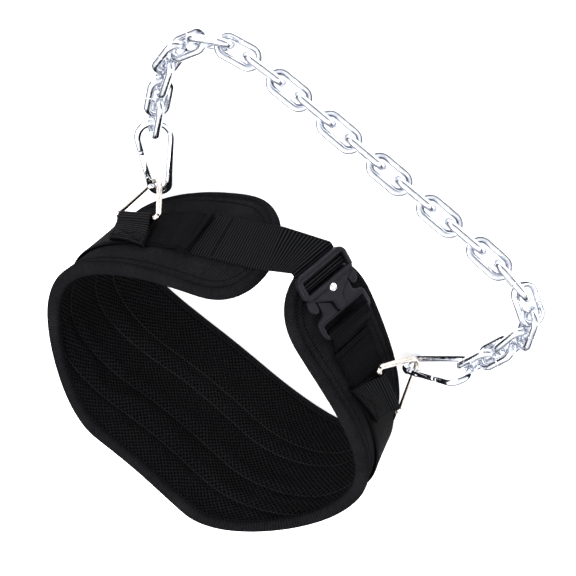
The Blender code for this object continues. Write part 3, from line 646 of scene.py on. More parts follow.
def webbing_finish(name, ribbed, valley_shade, crown_highlight, worn_tone):
    """Heavy webbing: close ribs across it and columns of warp along it, with the rib crowns painted light and
    the hollows near black as painted highlight and painted shade, and lighter worn patches.
    """
    material, tree, shader = new_material(name, 0.75, specular=0.02)
    uv = node(tree, "ShaderNodeUVMap", {"uv_map": "cloth"}).outputs[0]
    parts = node(tree, "ShaderNodeSeparateXYZ", Vector=uv)
    lengthways = node(tree, "ShaderNodeCombineXYZ", X=parts.outputs[1], Y=parts.outputs[0])
    rib = use_group(tree, RIBS, Place=lengthways.outputs[0], Pitch=WEB_RIB, Wander=0.25)["Height"]
    column = use_group(tree, RIBS, Place=uv, Pitch=0.0016, Wander=0.4)["Height"]
    threads = use_group(tree, WEAVE, Place=uv, Warp_pitch=0.00045, Weft_pitch=0.0008, Fray=0.5)
    dust = use_group(tree, DUST, Place=uv, Size=30.0, Edge=0.5)
    raised = calc(tree, "MULTIPLY", threads["Height"], 0.4)
    fine = calc(tree, "ADD", calc(tree, "MULTIPLY", column, 0.6), raised)
    height = calc(tree, "ADD", calc(tree, "MULTIPLY", rib, ribbed), calc(tree, "MULTIPLY", fine, 1 - ribbed))
    # Painted highlight and painted shade: the colour follows the rib height, near black in the hollows and
    # light on the crowns.
    crown = calc(tree, "POWER", height, 3.4)
    base = mix_colors(tree, crown, valley_shade, crown_highlight)
    worn = mix_colors(tree, calc(tree, "MULTIPLY", dust["Worn"], 0.2), base, worn_tone)
    tree.links.new(worn, shader.inputs["Base Color"])
    raise_surface(tree, shader, height, 0.0009)
    return material


# For each webbing: painted shade in the rib hollows, painted highlight on the rib crowns, then the tone of
# worn patches.
WEBBING = webbing_finish("ribbed black webbing", 0.94, (0.0, 0.0, 0.0001), (0.0165, 0.0165, 0.0184),
                         (0.0050, 0.0050, 0.0058))
FLAT_WEBBING = webbing_finish("flat black webbing", 0.35, (0.0010, 0.0010, 0.0013), (0.0115, 0.0115, 0.0132),
                              (0.0044, 0.0044, 0.0054))


def load_out(run):
    """Middle of the load strap above the pad, which steps up over the buckle straps at its ends."""
    left, right = LOAD_LEFT_END - TUCK, LOAD_RIGHT_END - TUCK
    share = max(smooth(1 + (run - left) / TUCK), smooth(1 + (-run - right) / TUCK))
    return layer(1) + (layer(2) - layer(1)) * share


def finish_webbing(strap, node_name, finish=FLAT_WEBBING):
    strap.data.materials.append(finish)
    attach(strap, "belt")
    if node_name:
        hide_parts(node_name)


load_runs = steps(-LOAD_RIGHT_END, LOAD_LEFT_END, 0.003)
load_strap = webbing("load_webbing", wall_rows([(run, 0, load_out(run)) for run in load_runs]), 1, 0.0002)
finish_webbing(load_strap, "load_strap")

# The folded hem that finishes the load strap's left end, slanted across the long strap.
HEM_START, HEM_WIDTH, HEM_SLANT = LOAD_LEFT_END - 0.0045, 0.005, 0.10
hem_rows = []
for share in steps(0, 1, 1 / 8):
    rise_out = layer(2) + WEB_THICKNESS * (0.35 + 0.85 * math.sin(math.pi * share))
    hem_rows.append([on_wall(HEM_START + HEM_WIDTH * share - HEM_SLANT * v, v, rise_out) for v in across()])
load_hem = webbing("load_webbing_hem", hem_rows, 0, 0.0002, step=0.0007)
finish_webbing(load_hem, None)

# -------------------------------------------------------------- buckle straps
# The long strap leaves the left tongue, goes round the buckle's cross bar and comes back beneath.
# The short strap goes round the buckle's end bar and is sewn flat on the right tongue.
BUCKLE_RUN, BUCKLE_RISE, BUCKLE_STAND = 0.369, -0.004, 0.0030
BUCKLE_LENGTH, BUCKLE_SIDE_BAR, BUCKLE_END_BAR = 0.062, 0.004, 0.005
BUCKLE_SLOT, BUCKLE_SHORT_SLOT = 0.0125, 0.009
BUCKLE_PLATE, BUCKLE_COVER, BUCKLE_FLOOR = 0.003, 0.0028, 0.0016
BUCKLE_HALF = BUCKLE_LENGTH / 2
PLATE_TOP = BUCKLE_FLOOR + BUCKLE_PLATE
COVER_FLOOR = PLATE_TOP + GAP
COVER_TOP = COVER_FLOOR + BUCKLE_COVER
SLOT_START = BUCKLE_END_BAR - BUCKLE_HALF
SLOT_END = SLOT_START + BUCKLE_SLOT
SHORT_SLOT_END = BUCKLE_HALF - BUCKLE_END_BAR
SHORT_SLOT_START = SHORT_SLOT_END - BUCKLE_SHORT_SLOT
SLOT_HALF = STRAP_WIDTH / 2 + 0.001
BUCKLE_HALF_WIDTH = SLOT_HALF + BUCKLE_SIDE_BAR
WEB_OVER = HALF_WEB + GAP


class Seat:
    """A flat frame that touches the wall at one place."""

    def __init__(self, run, rise, out_by):
        foot, self.along, self.up, self.out = wall_frame(run)
        self.origin = foot + self.up * rise + self.out * out_by

    def point(self, along, up, out):
        return self.origin + self.along * along + self.up * up + self.out * out

    def matrix(self):
        return Matrix.Translation(self.origin) @ Matrix((self.along, self.up, self.out)).transposed().to_4x4()


BUCKLE = Seat(-BUCKLE_RUN, BUCKLE_RISE, layer(1) + BUCKLE_STAND)


def buckle_rows(places, width=STRAP_WIDTH):
    return [[BUCKLE.point(u, v, w) for v in across(width)] for u, w in places]


def round_corner(u, w, first, second):
    """Places that carry a strap's middle round a bar's corner, from one face to the next."""
    places = []
    for a, b in ((1, 0), (0.92, 0.45), (0.8, 0.8), (0.45, 0.92), (0, 1)):
        places.append((u + (first[0] * a + second[0] * b) * WEB_OVER,
                       w + (first[1] * a + second[1] * b) * WEB_OVER))
    return places


bar_middle = (SLOT_START + SLOT_END) / 2
BAR_START, BAR_END = bar_middle - BUCKLE_SLOT * 0.1, bar_middle + BUCKLE_SLOT * 0.1
BAR_TOP = BUCKLE_FLOOR + BUCKLE_PLATE * 0.7
WEST, ABOVE, BELOW = (-1, 0), (0, 1), (0, -1)

long_start, long_stop = LOAD_LEFT_END - TUCK + GAP, LEFT_END + 0.002
long_places = []
for run in steps(long_start, long_stop, 0.003):
    share = smooth((run - long_start) / (long_stop - long_start))
    long_places.append((run, BUCKLE_RISE * share, layer(1)))
under = BUCKLE_FLOOR - WEB_OVER - GAP
tail = under - WEB_THICKNESS - GAP
web_top = BAR_TOP + WEB_OVER
climb = [(0.6, 0.25), (1.1, 0.75), (1.9, 1.0)]
around = [(-BUCKLE_HALF - 0.004, under), (SLOT_START - GAP, under)]
around += [(SLOT_START + WEB_THICKNESS * x, under + (web_top - under) * z) for x, z in climb]
around += [(SLOT_END - WEB_THICKNESS * x, under + (web_top - under) * z) for x, z in reversed(climb)]
around += [(SLOT_END - WEB_THICKNESS, tail), (BAR_START, tail), (-BUCKLE_HALF, tail)]
long_rows = wall_rows(long_places) + buckle_rows(around, 2 * SLOT_HALF - GAP)
long_strap = webbing("long_webbing", long_rows, 1, 0.0002, 3, 0.0011)
finish_webbing(long_strap, "long_strap", WEBBING)

short_start = LOAD_RIGHT_END - TUCK + GAP
short_flat = LOAD_RIGHT_END + 2.5 * WEB_THICKNESS
short_rows = wall_rows([(-run, BUCKLE_RISE, layer(1)) for run in steps(short_start, short_flat, 0.004)])
around = [(BUCKLE_HALF, BUCKLE_FLOOR - WEB_OVER)]
around += round_corner(SHORT_SLOT_END, BUCKLE_FLOOR, BELOW, WEST)
around += round_corner(SHORT_SLOT_END, PLATE_TOP, WEST, ABOVE)
around += [(BUCKLE_HALF, PLATE_TOP + WEB_OVER), (BUCKLE_HALF + 2 * WEB_OVER, PLATE_TOP + GAP)]
short_rows += buckle_rows(around)
short_rows += wall_rows([(-run, BUCKLE_RISE, layer(2) + GAP)
                         for run in steps(short_flat, LOAD_RIGHT_END + GAP * 4, 0.0015)])
short_strap = webbing("short_webbing", short_rows, 1, 0.0009, 8, 0.0011)
finish_webbing(short_strap, "short_strap")

# ------------------------------------------------------------------ ring loops
# Short lengths of webbing folded round each ring's straight side and sewn to the load strap.
# They are sewn on aslant, so the rings hang a little forwards.
LOOP_RUNS = {"left": 0.236, "right": -0.262}
LOOP_TOP, LOOP_DROP = 0.024, 0.009
LOOP_SLANT, LOOP_SIDE_LEAN = 14.0, 12.0
RING_WIRE = 0.005


class RingSeat:
    """Where one ring's webbing loop is sewn: its fold and the ring's base bar share this place."""

    def __init__(self, name):
        self.side = 1 if name == "left" else -1
        self.run = LOOP_RUNS[name]
        self.frame = Seat(self.run, 0, 0)
        self.fold = RING_WIRE / 2 + GAP + HALF_WEB
        self.bar_out = layer(2) + self.fold

    def place(self, width, length, out_by):
        slant, tilt = math.radians(LOOP_SLANT), math.radians(LOOP_SIDE_LEAN)
        along = self.side * (width * math.cos(slant) + length * math.sin(tilt))
        rise = width * math.sin(slant) + length * math.cos(tilt)
        flat = self.frame.point(along, rise, out_by)
        share = smooth((LOOP_TOP / 2 - length) / (LOOP_TOP / 2 + LOOP_DROP / 2))
        return on_wall(self.run + along, rise, out_by).lerp(flat, share)

    def bar(self, width):
        return self.place(width, -LOOP_DROP, self.bar_out)


def build_ring_loop(name):
    seat = RingSeat(name)
    inner, outer = layer(2), layer(3)
    bend = seat.fold / math.cos(math.radians(LOOP_SLANT + LOOP_SIDE_LEAN))
    path = [(LOOP_TOP, inner), (LOOP_TOP / 3, inner), (-LOOP_DROP / 2, inner)]
    for turn in steps(180, 360, 15):
        angle = math.radians(turn)
        path.append((-LOOP_DROP + bend * math.sin(angle), seat.bar_out + seat.fold * math.cos(angle)))
    path += [(-LOOP_DROP / 2, seat.bar_out + seat.fold * 0.7), (0, outer + seat.fold * 0.5)]
    path += [(LOOP_TOP / 2, outer + GAP), (LOOP_TOP, outer)]
    rows = [[seat.place(width, length, out_by) for width in across()] for length, out_by in path]
    loop = webbing(name + "_loop_webbing", rows, 1, 0.0003, 20 if name == "left" else 40, 0.0010)
    finish_webbing(loop, name + "_ring_loop", WEBBING)


for side_name in ("left", "right"):
    build_ring_loop(side_name)

# ------------------------------------------------------------------- stitching
# Black bonded thread: rows along the binding, the canvas and the load strap, the quilting
# seams, one row across each buckle strap, and a boxed cross on each ring loop.
STITCH_PITCH, STRAP_PITCH, QUILT_PITCH = 0.0032, 0.0030, 0.0026
THREAD, STRAP_THREAD, QUILT_THREAD = 0.0009, 0.0007, 0.0012
THREAD_PROUD = 0.0001
STRAP_ROW_RISE = 0.0205
STRAP_ROW_RIGHT, STRAP_ROW_LEFT = -0.318, 0.302
# Where along the belt the row across each buckle strap lies.
CROSS_ROWS = {"long": 0.329, "short": -0.327}
QUILT_RIGHT, QUILT_LEFT, QUILT_SUNK = -0.355, 0.340, 0.4
CROSS_HALF, CROSS_LOW, CROSS_HIGH, CROSS_PROUD = 0.019, 0.0095, LOOP_TOP - 0.0025, 0.0004


def tree_of(name, inputs):
    """An empty Geometry Nodes tree with named inputs; the first input and the output are geometry."""
    tree = bpy.data.node_groups.new(name, "GeometryNodeTree")
    tree.interface.new_socket(name="Geometry", in_out="INPUT", socket_type="NodeSocketGeometry")
    for label, kind, value in inputs:
        socket = tree.interface.new_socket(name=label, in_out="INPUT", socket_type="NodeSocket" + kind)
        if value is not None:
            socket.default_value = value
    tree.interface.new_socket(name="Geometry", in_out="OUTPUT", socket_type="NodeSocketGeometry")
    return tree, tree.nodes.new("NodeGroupInput").outputs, tree.nodes.new("NodeGroupOutput").inputs


def end_tree(tree, geometry, material, result):
    """Every tree ends alike: real geometry, smooth, in its own material."""
    solid = node(tree, "GeometryNodeRealizeInstances", Geometry=geometry)
    soft = node(tree, "GeometryNodeSetShadeSmooth", Geometry=solid.outputs[0])
    coat = node(tree, "GeometryNodeSetMaterial", Geometry=soft.outputs[0], Material=material)
    tree.links.new(coat.outputs[0], result["Geometry"])


def make_stitch_tree():
    """Thread between needle holes: a flattened bead at every step along each line."""
    tree, given, result = tree_of("stitch row", [
        ("Pitch", "Float", 0.003), ("Thread", "Float", 0.0006), ("Material", "Material", None)])
    line = node(tree, "GeometryNodeMeshToCurve", Mesh=given["Geometry"])
    even = node(tree, "GeometryNodeResampleCurve", {"mode": "LENGTH"}, Curve=line.outputs[0],
                Length=given["Pitch"])
    bead = node(tree, "GeometryNodeMeshUVSphere", Segments=6, Rings=4, Radius=0.5)
    long = calc(tree, "MULTIPLY", given["Pitch"], 0.86)
    size = node(tree, "ShaderNodeCombineXYZ", X=long, Y=given["Thread"], Z=given["Thread"])
    tangent = node(tree, "GeometryNodeInputTangent")
    turn = node(tree, "FunctionNodeAlignRotationToVector", {"axis": "X"}, Vector=tangent.outputs[0])
    rows = node(tree, "GeometryNodeInstanceOnPoints", Points=even.outputs[0], Instance=bead.outputs[0],
                Rotation=turn.outputs[0], Scale=size.outputs[0])
    end_tree(tree, rows.outputs[0], given["Material"], result)
    return tree


def grow(name, mesh, tree, values):
    """Run a tree on a mesh and keep what it makes as a plain piece at the origin."""
    carrier = show(name + "_line", mesh)
    growth = carrier.modifiers.new("Growth", "NODES")
    growth.node_group = tree
    for item in tree.interface.items_tree:
        if item.item_type == "SOCKET" and item.in_out == "INPUT" and item.name in values:
            growth[item.identifier] = values[item.name]
    made = finished_mesh(carrier)
    made.name = name
    return show(name, made)


def lines_mesh(name, lines):
    """Open lines as loose edges, given point by point; a line marked closed comes back to its start."""
    points, edges = [], []
    for line, closed in lines:
        first = len(points)
        points += [tuple(point) for point in line]
        edges += [(first + number, first + number + 1) for number in range(len(line) - 1)]
        if closed:
            edges.append((len(points) - 1, first))
    mesh = bpy.data.meshes.new(name)
    mesh.from_pydata(points, edges, [])
    return mesh


def thread_finish(name, dark, light):
    """Bonded nylon thread with a faint twist."""
    material, tree, shader = new_material(name, 0.7, specular=0.02)
    place = node(tree, "ShaderNodeTexCoord").outputs["Object"]
    twist = node(tree, "ShaderNodeTexNoise", Vector=place, Scale=2600.0, Detail=2.0)
    tone = mix_colors(tree, twist.outputs["Fac"], dark, light)
    tree.links.new(tone, shader.inputs["Base Color"])
    raise_surface(tree, shader, twist.outputs["Fac"], 0.0001)
    return material


STITCHES = make_stitch_tree()
SEAM_THREAD = thread_finish("black thread", (0.0001, 0.0001, 0.0001), (0.0010, 0.0010, 0.0012))
# The quilting thread is given a lighter tone than the seam thread.
QUILT_FINISH = thread_finish("lighter black thread", (0.0140, 0.0140, 0.0150), (0.0240, 0.0240, 0.0255))


def offset_loop(depth, out_by):
    """A closed row of stitches at one depth inside the pad's edge."""
    line = []
    for number, point in enumerate(EDGE):
        place = point + inward(EDGE, number) * depth
        line.append(on_wall(place.x, place.y, out_by))
    return line


def sew(name, lines, pitch=STITCH_PITCH, thread=THREAD, finish=SEAM_THREAD):
    values = {"Pitch": pitch, "Thread": thread, "Material": finish}
    rows = grow(name, lines_mesh(name, lines), STITCHES, values)
    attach(rows, "belt")


def cross_box(place, left, right, low, high):
    """A boxed cross of stitches through place(width, length)."""
    corners = [(left, low), (right, low), (right, high), (left, high)]
    lines = []
    for first, second in ((0, 1), (1, 2), (2, 3), (3, 0), (0, 2), (1, 3)):
        a, b = Vector(corners[first]), Vector(corners[second])
        lines.append(([place(*a.lerp(b, share)) for share in steps(0, 1, 0.1)], False))
    return lines


sew("binding_stitches", [(offset_loop(BINDING_STITCH_IN, BINDING_HALF * 0.97), True),
                         (offset_loop(BINDING_STITCH_IN, -BINDING_HALF * 0.97), True)])
sew("canvas_stitches", [(offset_loop(CANVAS_ROW_IN, HALF_PAD + 0.0003), True)])
quilting = []
for row in PAD_SEAMS:
    quilting.append(([on_wall(run, seam_rise(row, run), -HALF_PAD + SEAM_DEPTH - QUILT_THREAD * QUILT_SUNK)
                      for run in steps(QUILT_RIGHT, QUILT_LEFT, 0.004)], False))
sew("quilting_stitches", quilting, QUILT_PITCH, QUILT_THREAD, QUILT_FINISH)


def row_across(run, half, middle, out_by):
    """A row of stitches across a strap."""
    out_by += HALF_WEB + THREAD_PROUD
    return [on_wall(run, rise + middle, out_by) for rise in steps(-half, half, 0.003)], False


strap_rows = []
for rise in (-STRAP_ROW_RISE, STRAP_ROW_RISE):
    strap_rows.append(([on_wall(run, rise, load_out(run) + HALF_WEB + THREAD_PROUD)
                        for run in steps(STRAP_ROW_RIGHT, STRAP_ROW_LEFT - 0.002, 0.004)], False))
for run in (STRAP_ROW_RIGHT, STRAP_ROW_LEFT):
    strap_rows.append(row_across(run, STRAP_ROW_RISE, 0, load_out(run)))
for name, out_by in (("long", layer(1)), ("short", layer(2) + GAP)):
    strap_rows.append(row_across(CROSS_ROWS[name], STRAP_ROW_RISE + 0.001, BUCKLE_RISE, out_by))
for side_name in ("left", "right"):
    seat = RingSeat(side_name)
    cross_out = layer(3) + HALF_WEB + CROSS_PROUD
    strap_rows += cross_box(lambda width, length: seat.place(width, length, cross_out),
                            -CROSS_HALF, CROSS_HALF, CROSS_LOW, CROSS_HIGH)
sew("strap_stitches", strap_rows, STRAP_PITCH, STRAP_THREAD)

# -------------------------------------------------------------- triangle rings
# Each ring is one length of nickel-plated steel wire, bent to a triangle and welded.
# Its straight side lies in the webbing's fold and its blunt tip carries the snap hook.
RING_BASE, RING_HEIGHT = 0.062, 0.044
RING_CORNER, RING_TIP = 0.0035, 0.0075
RING_SWING = {"left": 23.0, "right": 18.0}
RING_SLOPE = math.atan2(RING_HEIGHT, RING_BASE / 2)
RING_TIP_REACH = RING_HEIGHT - RING_TIP / math.cos(RING_SLOPE) + RING_TIP


def arc(center, radius, start, stop, count):
    angles = [math.radians(angle) for angle in steps(start, stop, abs(stop - start) / count)]
    return [Vector((center[0] + radius * math.cos(a), center[1] + radius * math.sin(a))) for a in angles]


def ring_axes(name):
    """The ring's base middle, and the directions along its base and down to its tip."""
    seat = RingSeat(name)
    base = seat.bar(0)
    side = (seat.bar(RING_BASE / 2) - seat.bar(-RING_BASE / 2)).normalized()
    swing = math.radians(RING_SWING[name])
    down = seat.frame.out * math.sin(swing) - seat.frame.up * math.cos(swing)
    return base, side, (down - side * down.dot(side)).normalized()


def ring_line(name):
    base, side, down = ring_axes(name)
    slope = math.degrees(RING_SLOPE)
    corner_x = RING_BASE / 2 - RING_CORNER / math.tan(RING_SLOPE / 2)
    outline = arc((-corner_x, RING_CORNER), RING_CORNER, 270, 90 + slope, 12)
    outline += arc((0, RING_TIP_REACH - RING_TIP), RING_TIP, 90 + slope, 90 - slope, 14)
    outline += arc((corner_x, RING_CORNER), RING_CORNER, 90 - slope, -90, 12)
    return [base + side * point.x + down * point.y for point in outline]


def make_wire_tree():
    """A round wire along each line; the line's own girth swells it at a weld or thins it at a tip."""
    tree, given, result = tree_of("bent wire", [
        ("Radius", "Float", 0.002), ("Sides", "Int", 16), ("Material", "Material", None)])
    line = node(tree, "GeometryNodeMeshToCurve", Mesh=given["Geometry"])
    girth = node(tree, "GeometryNodeInputNamedAttribute", {"data_type": "FLOAT"}, Name="girth")
    thick = node(tree, "GeometryNodeSetCurveRadius", Curve=line.outputs[0], Radius=girth.outputs[0])
    round_section = node(tree, "GeometryNodeCurvePrimitiveCircle", Resolution=given["Sides"],
                         Radius=given["Radius"])
    tube = node(tree, "GeometryNodeCurveToMesh", Curve=thick.outputs[0],
                Profile_Curve=round_section.outputs[0], Fill_Caps=True)
    tree.links.new(girth.outputs[0], tube.inputs["Scale"])
    end_tree(tree, tube.outputs[0], given["Material"], result)
    return tree


def make_scratches():
    """Fine straight scratches in two directions and soft smudges, both from 0 to 1."""
    group, given, result = shader_group("plating_wear", [("Place", None), ("Fineness", 900.0)],
                                        ["Scratch", "Smudge"])
    marks = None
    for turn, stretch in ((0.5, 0.06), (2.1, 0.09)):
        laid = node(group, "ShaderNodeMapping", Vector=given["Place"], Rotation=(turn, turn * 1.7, turn),
                    Scale=(stretch, 1, 1))
        streak = node(group, "ShaderNodeTexNoise", Vector=laid.outputs[0], Scale=given["Fineness"],
                      Detail=2.0)
        cut = node(group, "ShaderNodeMapRange", in_0=streak.outputs["Fac"], in_1=0.60, in_2=0.68).outputs[0]
        marks = cut if marks is None else calc(group, "MAXIMUM", marks, cut)
    smudge = node(group, "ShaderNodeTexNoise", Vector=given["Place"], Scale=120.0, Detail=3.0)
    group.links.new(marks, result["Scratch"])
    group.links.new(smudge.outputs["Fac"], result["Smudge"])
    return group


PLATING_WEAR = make_scratches()


def plated_finish(name, bright, dull, polished, rough, scratch_share, dent=0.00004):
    """Plated steel: roughness in smudges, fine scratches, and a duller tone where it is handled."""
    material, tree, shader = new_material(name, polished, metallic=1.0)
    place = node(tree, "ShaderNodeTexCoord").outputs["Object"]
    wear = use_group(tree, PLATING_WEAR, Place=place, Fineness=700.0)
    smudged = node(tree, "ShaderNodeMapRange", in_0=wear["Smudge"], in_1=0.35, in_2=0.7,
                   in_3=polished, in_4=rough)
    scratched = calc(tree, "MULTIPLY", wear["Scratch"], scratch_share)
    tree.links.new(calc(tree, "ADD", smudged.outputs[0], scratched), shader.inputs["Roughness"])
    tone = mix_colors(tree, node(tree, "ShaderNodeMapRange", in_0=wear["Smudge"], in_1=0.4, in_2=0.75)
                      .outputs[0], bright, dull)
    tree.links.new(tone, shader.inputs["Base Color"])
    raise_surface(tree, shader, calc(tree, "SUBTRACT", wear["Smudge"], scratched), dent)
    return material


WIRE = make_wire_tree()
NICKEL = plated_finish("nickel plate", (0.64, 0.59, 0.54), (0.46, 0.41, 0.37), 0.12, 0.26, 0.12)


def wire_mesh(name, line, closed, girths=None):
    mesh = lines_mesh(name, [(line, closed)])
    girth = mesh.attributes.new("girth", "FLOAT", "POINT")
    girth.data.foreach_set("value", girths or [1.0] * len(line))
    return mesh


for side_name in ("left", "right"):
    line = ring_line(side_name)
    ring = grow(side_name + "_triangle_ring", wire_mesh("ring_line", line, True), WIRE,
                {"Radius": RING_WIRE / 2, "Sides": 20, "Material": NICKEL})
    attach(ring, "belt")
    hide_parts(side_name + "_ring")

# ------------------------------------------------------------------ snap hooks
# A pear-shaped hook of chromed steel wire with a flat tab beside its narrow end. The gate is a
# round bar, forked over the tab and pinned through it, and it closes against the hook's nose.
HOOK_LENGTH, HOOK_WIRE = 0.075, 0.0072
HOOK_NARROW, HOOK_WIDE = 0.0082, 0.0145
HOOK_PIN_SHARE, HOOK_NOSE_SHARE = 0.22, 0.60
HOOK_TAB, HOOK_PIN = 0.0026, 0.003
HOOKS = {"left": (-60.0, 30.0), "right": (-135.0, 100.0)}
HOOK_SEATS = {"left": (0.0035, -0.0065, -0.006), "right": (-0.0035, -0.004, 0.008)}
HOOK_REACH = HOOK_LENGTH - HOOK_WIRE
CHROME = plated_finish("chrome plate", (0.74, 0.76, 0.81), (0.56, 0.58, 0.64), 0.05, 0.13, 0.10, 0.00003)


def hook_matrix(name):
    base, side, down = ring_axes(name)
    sideways, drop, square = HOOK_SEATS[name]
    place = base + side * sideways + down * (RING_TIP_REACH + drop) + side.cross(down) * square
    heading, roll = (math.radians(value) for value in HOOKS[name])
    rest = HOOK_WIDE * abs(math.sin(roll)) + HOOK_WIRE / 2
    pitch = math.asin((rest - place.z) / (HOOK_REACH - HOOK_WIDE))
    turn = Matrix.Rotation(heading, 4, "Z") @ Matrix.Rotation(-pitch, 4, "Y") @ Matrix.Rotation(roll, 4, "X")
    return Matrix.Translation(place) @ turn


def hook_side(share):
    """A point of the gate side's middle line, by its share of the hook's length."""
    spread = math.asin((HOOK_WIDE - HOOK_NARROW) / (HOOK_REACH - HOOK_WIDE - HOOK_NARROW))
    normal = Vector((-math.sin(spread), math.cos(spread)))
    start = Vector((HOOK_NARROW, 0)) + normal * HOOK_NARROW
    stop = Vector((HOOK_REACH - HOOK_WIDE, 0)) + normal * HOOK_WIDE
    along = (share * HOOK_REACH - start.x) / (stop.x - start.x)
    return start.lerp(stop, along), math.degrees(spread)


def rounded_block(size, matrix, rounding, sides=0):
    """A bevelled box, or a bevelled rod of so many sides with its length along its own z."""
    bm = bmesh.new()
    if sides:
        bmesh.ops.create_cone(bm, cap_ends=True, segments=sides, radius1=size[0], radius2=size[0],
                              depth=size[2])
        edges = [edge for edge in bm.edges if abs(edge.verts[0].co.z - edge.verts[1].co.z) < 1e-7]
    else:
        bmesh.ops.create_cube(bm, size=1)
        bmesh.ops.scale(bm, vec=size, verts=bm.verts)
        edges = list(bm.edges)
    bmesh.ops.bevel(bm, geom=edges, offset=rounding, segments=3, profile=0.5, affect="EDGES")
    bmesh.ops.transform(bm, matrix=matrix, verts=bm.verts)
    mesh = bpy.data.meshes.new("block")
    bm.to_mesh(mesh)
    bm.free()
    return mesh


def join(name, meshes, material):
    """One piece from several closed shapes, at the origin."""
    bm = bmesh.new()
    for mesh in meshes:
        bm.from_mesh(mesh)
    bmesh.ops.recalc_face_normals(bm, faces=bm.faces)
    for face in bm.faces:
        face.material_index = 0
        face.smooth = True
    whole = bpy.data.meshes.new(name)
    bm.to_mesh(whole)
    bm.free()
    whole.materials.clear()
    whole.materials.append(material)
    return show(name, whole)


def crisp(piece, angle=38):
    """Keep the flats flat where two faces meet at more than this angle."""
    piece.data.set_sharp_from_angle(angle=math.radians(angle))
    return piece


def carve(piece, cutter):
    """Cut one shape out of another and keep the plain mesh that is left."""
    cut = piece.modifiers.new("Cut", "BOOLEAN")
    cut.operation = "DIFFERENCE"
    cut.solver = "EXACT"
    cut.object = cutter
    shape = finished_mesh(piece)
    bpy.data.objects.remove(cutter)
    return shape


def tapered_tip(count, tip):
    """Girths of a wire whose first end is rounded over."""
    return [tip + (1 - tip) * math.sin(math.pi / 2 * min(1, number / 3)) for number in range(count)]


def build_hook(name):
    matrix = hook_matrix(name)
    nose, spread = hook_side(HOOK_NOSE_SHARE)
    pin, spread = hook_side(HOOK_PIN_SHARE)
    wide = arc((HOOK_REACH - HOOK_WIDE, 0), HOOK_WIDE, 90 + spread, -90 - spread, 30)
    narrow = arc((HOOK_NARROW, 0), HOOK_NARROW, 270 - spread, 90 + spread, 22)
    toward = (wide[0] - nose).normalized()
    lead = [nose + toward * step for step in (0, 0.0003, 0.0009, 0.0018)]
    flat = lead + wide + narrow
    line = [matrix @ Vector((point.x, point.y, 0)) for point in flat]
    girths = tapered_tip(len(flat), 0.72)
    girths[-1], girths[-2] = 0.72, 0.93
    body = grow(name + "_hook_wire", wire_mesh("hook_line", line, False, girths), WIRE,
                {"Radius": HOOK_WIRE / 2, "Sides": 24, "Material": CHROME})
    seat = matrix @ Matrix.Translation((pin.x, pin.y, 0)) @ Matrix.Rotation(math.radians(spread), 4, "Z")
    reach = pin.x - narrow[-1].x + HOOK_WIRE / 2
    tab_width = HOOK_WIRE * 0.8
    tab = rounded_block((reach, tab_width, HOOK_TAB), seat @ Matrix.Translation((-reach / 2, 0, 0)), 0.0004)
    eye = rounded_block((tab_width * 0.52, 0, HOOK_TAB * 0.96), seat, 0.0003, 28)
    wire_shape = body.data
    bpy.data.objects.remove(body)
    hook = crisp(join(name + "_snap_hook", [wire_shape, tab, eye], CHROME))
    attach(hook, "belt")
    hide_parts(name + "_hook")
    build_gate(name, seat, (nose - pin).length - GAP)


def build_gate(name, seat, length):
    heel, radius = HOOK_WIRE * 0.5, HOOK_WIRE * 0.46
    # Place along the gate, share of its radius.
    profile = [
        (-heel, 0.62), (-heel + 0.0004, 0.84), (-heel + 0.0012, 0.98), (0.0, 1.0), (heel * 1.6, 1.0),
        (length * 0.82, 1.0), (length * 0.86, 0.86), (length * 0.90, 0.80), (length * 0.93, 0.90),
        (length * 0.97, 0.90), (length, 0.70),
    ]
    line = [seat @ Vector((along, 0, 0)) for along, share in profile]
    bar = grow(name + "_gate_bar", wire_mesh("gate_line", line, False, [share for along, share in profile]),
               WIRE, {"Radius": radius, "Sides": 28, "Material": CHROME})
    fork = heel * 2 + GAP * 2
    slot_box = show("fork_slot", rounded_block((fork + heel, HOOK_WIRE * 2, HOOK_TAB + 2 * GAP),
                    seat @ Matrix.Translation(((fork - heel * 2) / 2 - heel / 2, 0, 0)), 0.0002))
    pin = rounded_block((HOOK_PIN / 2, 0, HOOK_WIRE * 0.98), seat, 0.0004, 20)
    gate = crisp(join(name + "_hook_gate", [carve(bar, slot_box), pin], CHROME))
    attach(gate, name + "_gate")
    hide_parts(name + "_gate")


for side_name in ("left", "right"):
    build_hook(side_name)

# ----------------------------------------------------------------------- chain
# Welded steel chain with a bright zinc finish, hooked at both ends and lying on the floor.
# The links lie turned one against the next, and each has a weld bead on one long side.
LINK_WIRE, LINK_INSIDE_LENGTH, LINK_PLAY = 0.007, 0.0306, 0.0019
LINK_COUNT, LINK_ROLL, LINK_LIFT = 23, 45.0, 0.0026
# x as a share of half the distance between the hooks' wide ends, y from the middle between them,
# and the share of the full pitch used there.
CHAIN_ROUTE = [
    (1.0001, -0.0092, 0.86),
    (1.0526, -0.0512, 0.86),
    (1.0584, -0.0772, 0.90),
    (0.9768, -0.1082, 0.92),
    (0.8078, -0.1242, 0.96),
    (0.4872, -0.1242, 1.00),
    (-0.0374, -0.1162, 1.00),
    (-0.6203, -0.1072, 1.00),
    (-0.8768, -0.1012, 0.96),
    (-1.0108, -0.0912, 0.92),
    (-1.0925, -0.0662, 0.90),
    (-1.0691, -0.0392, 0.86),
    (-0.9963, -0.0032, 0.85),
]


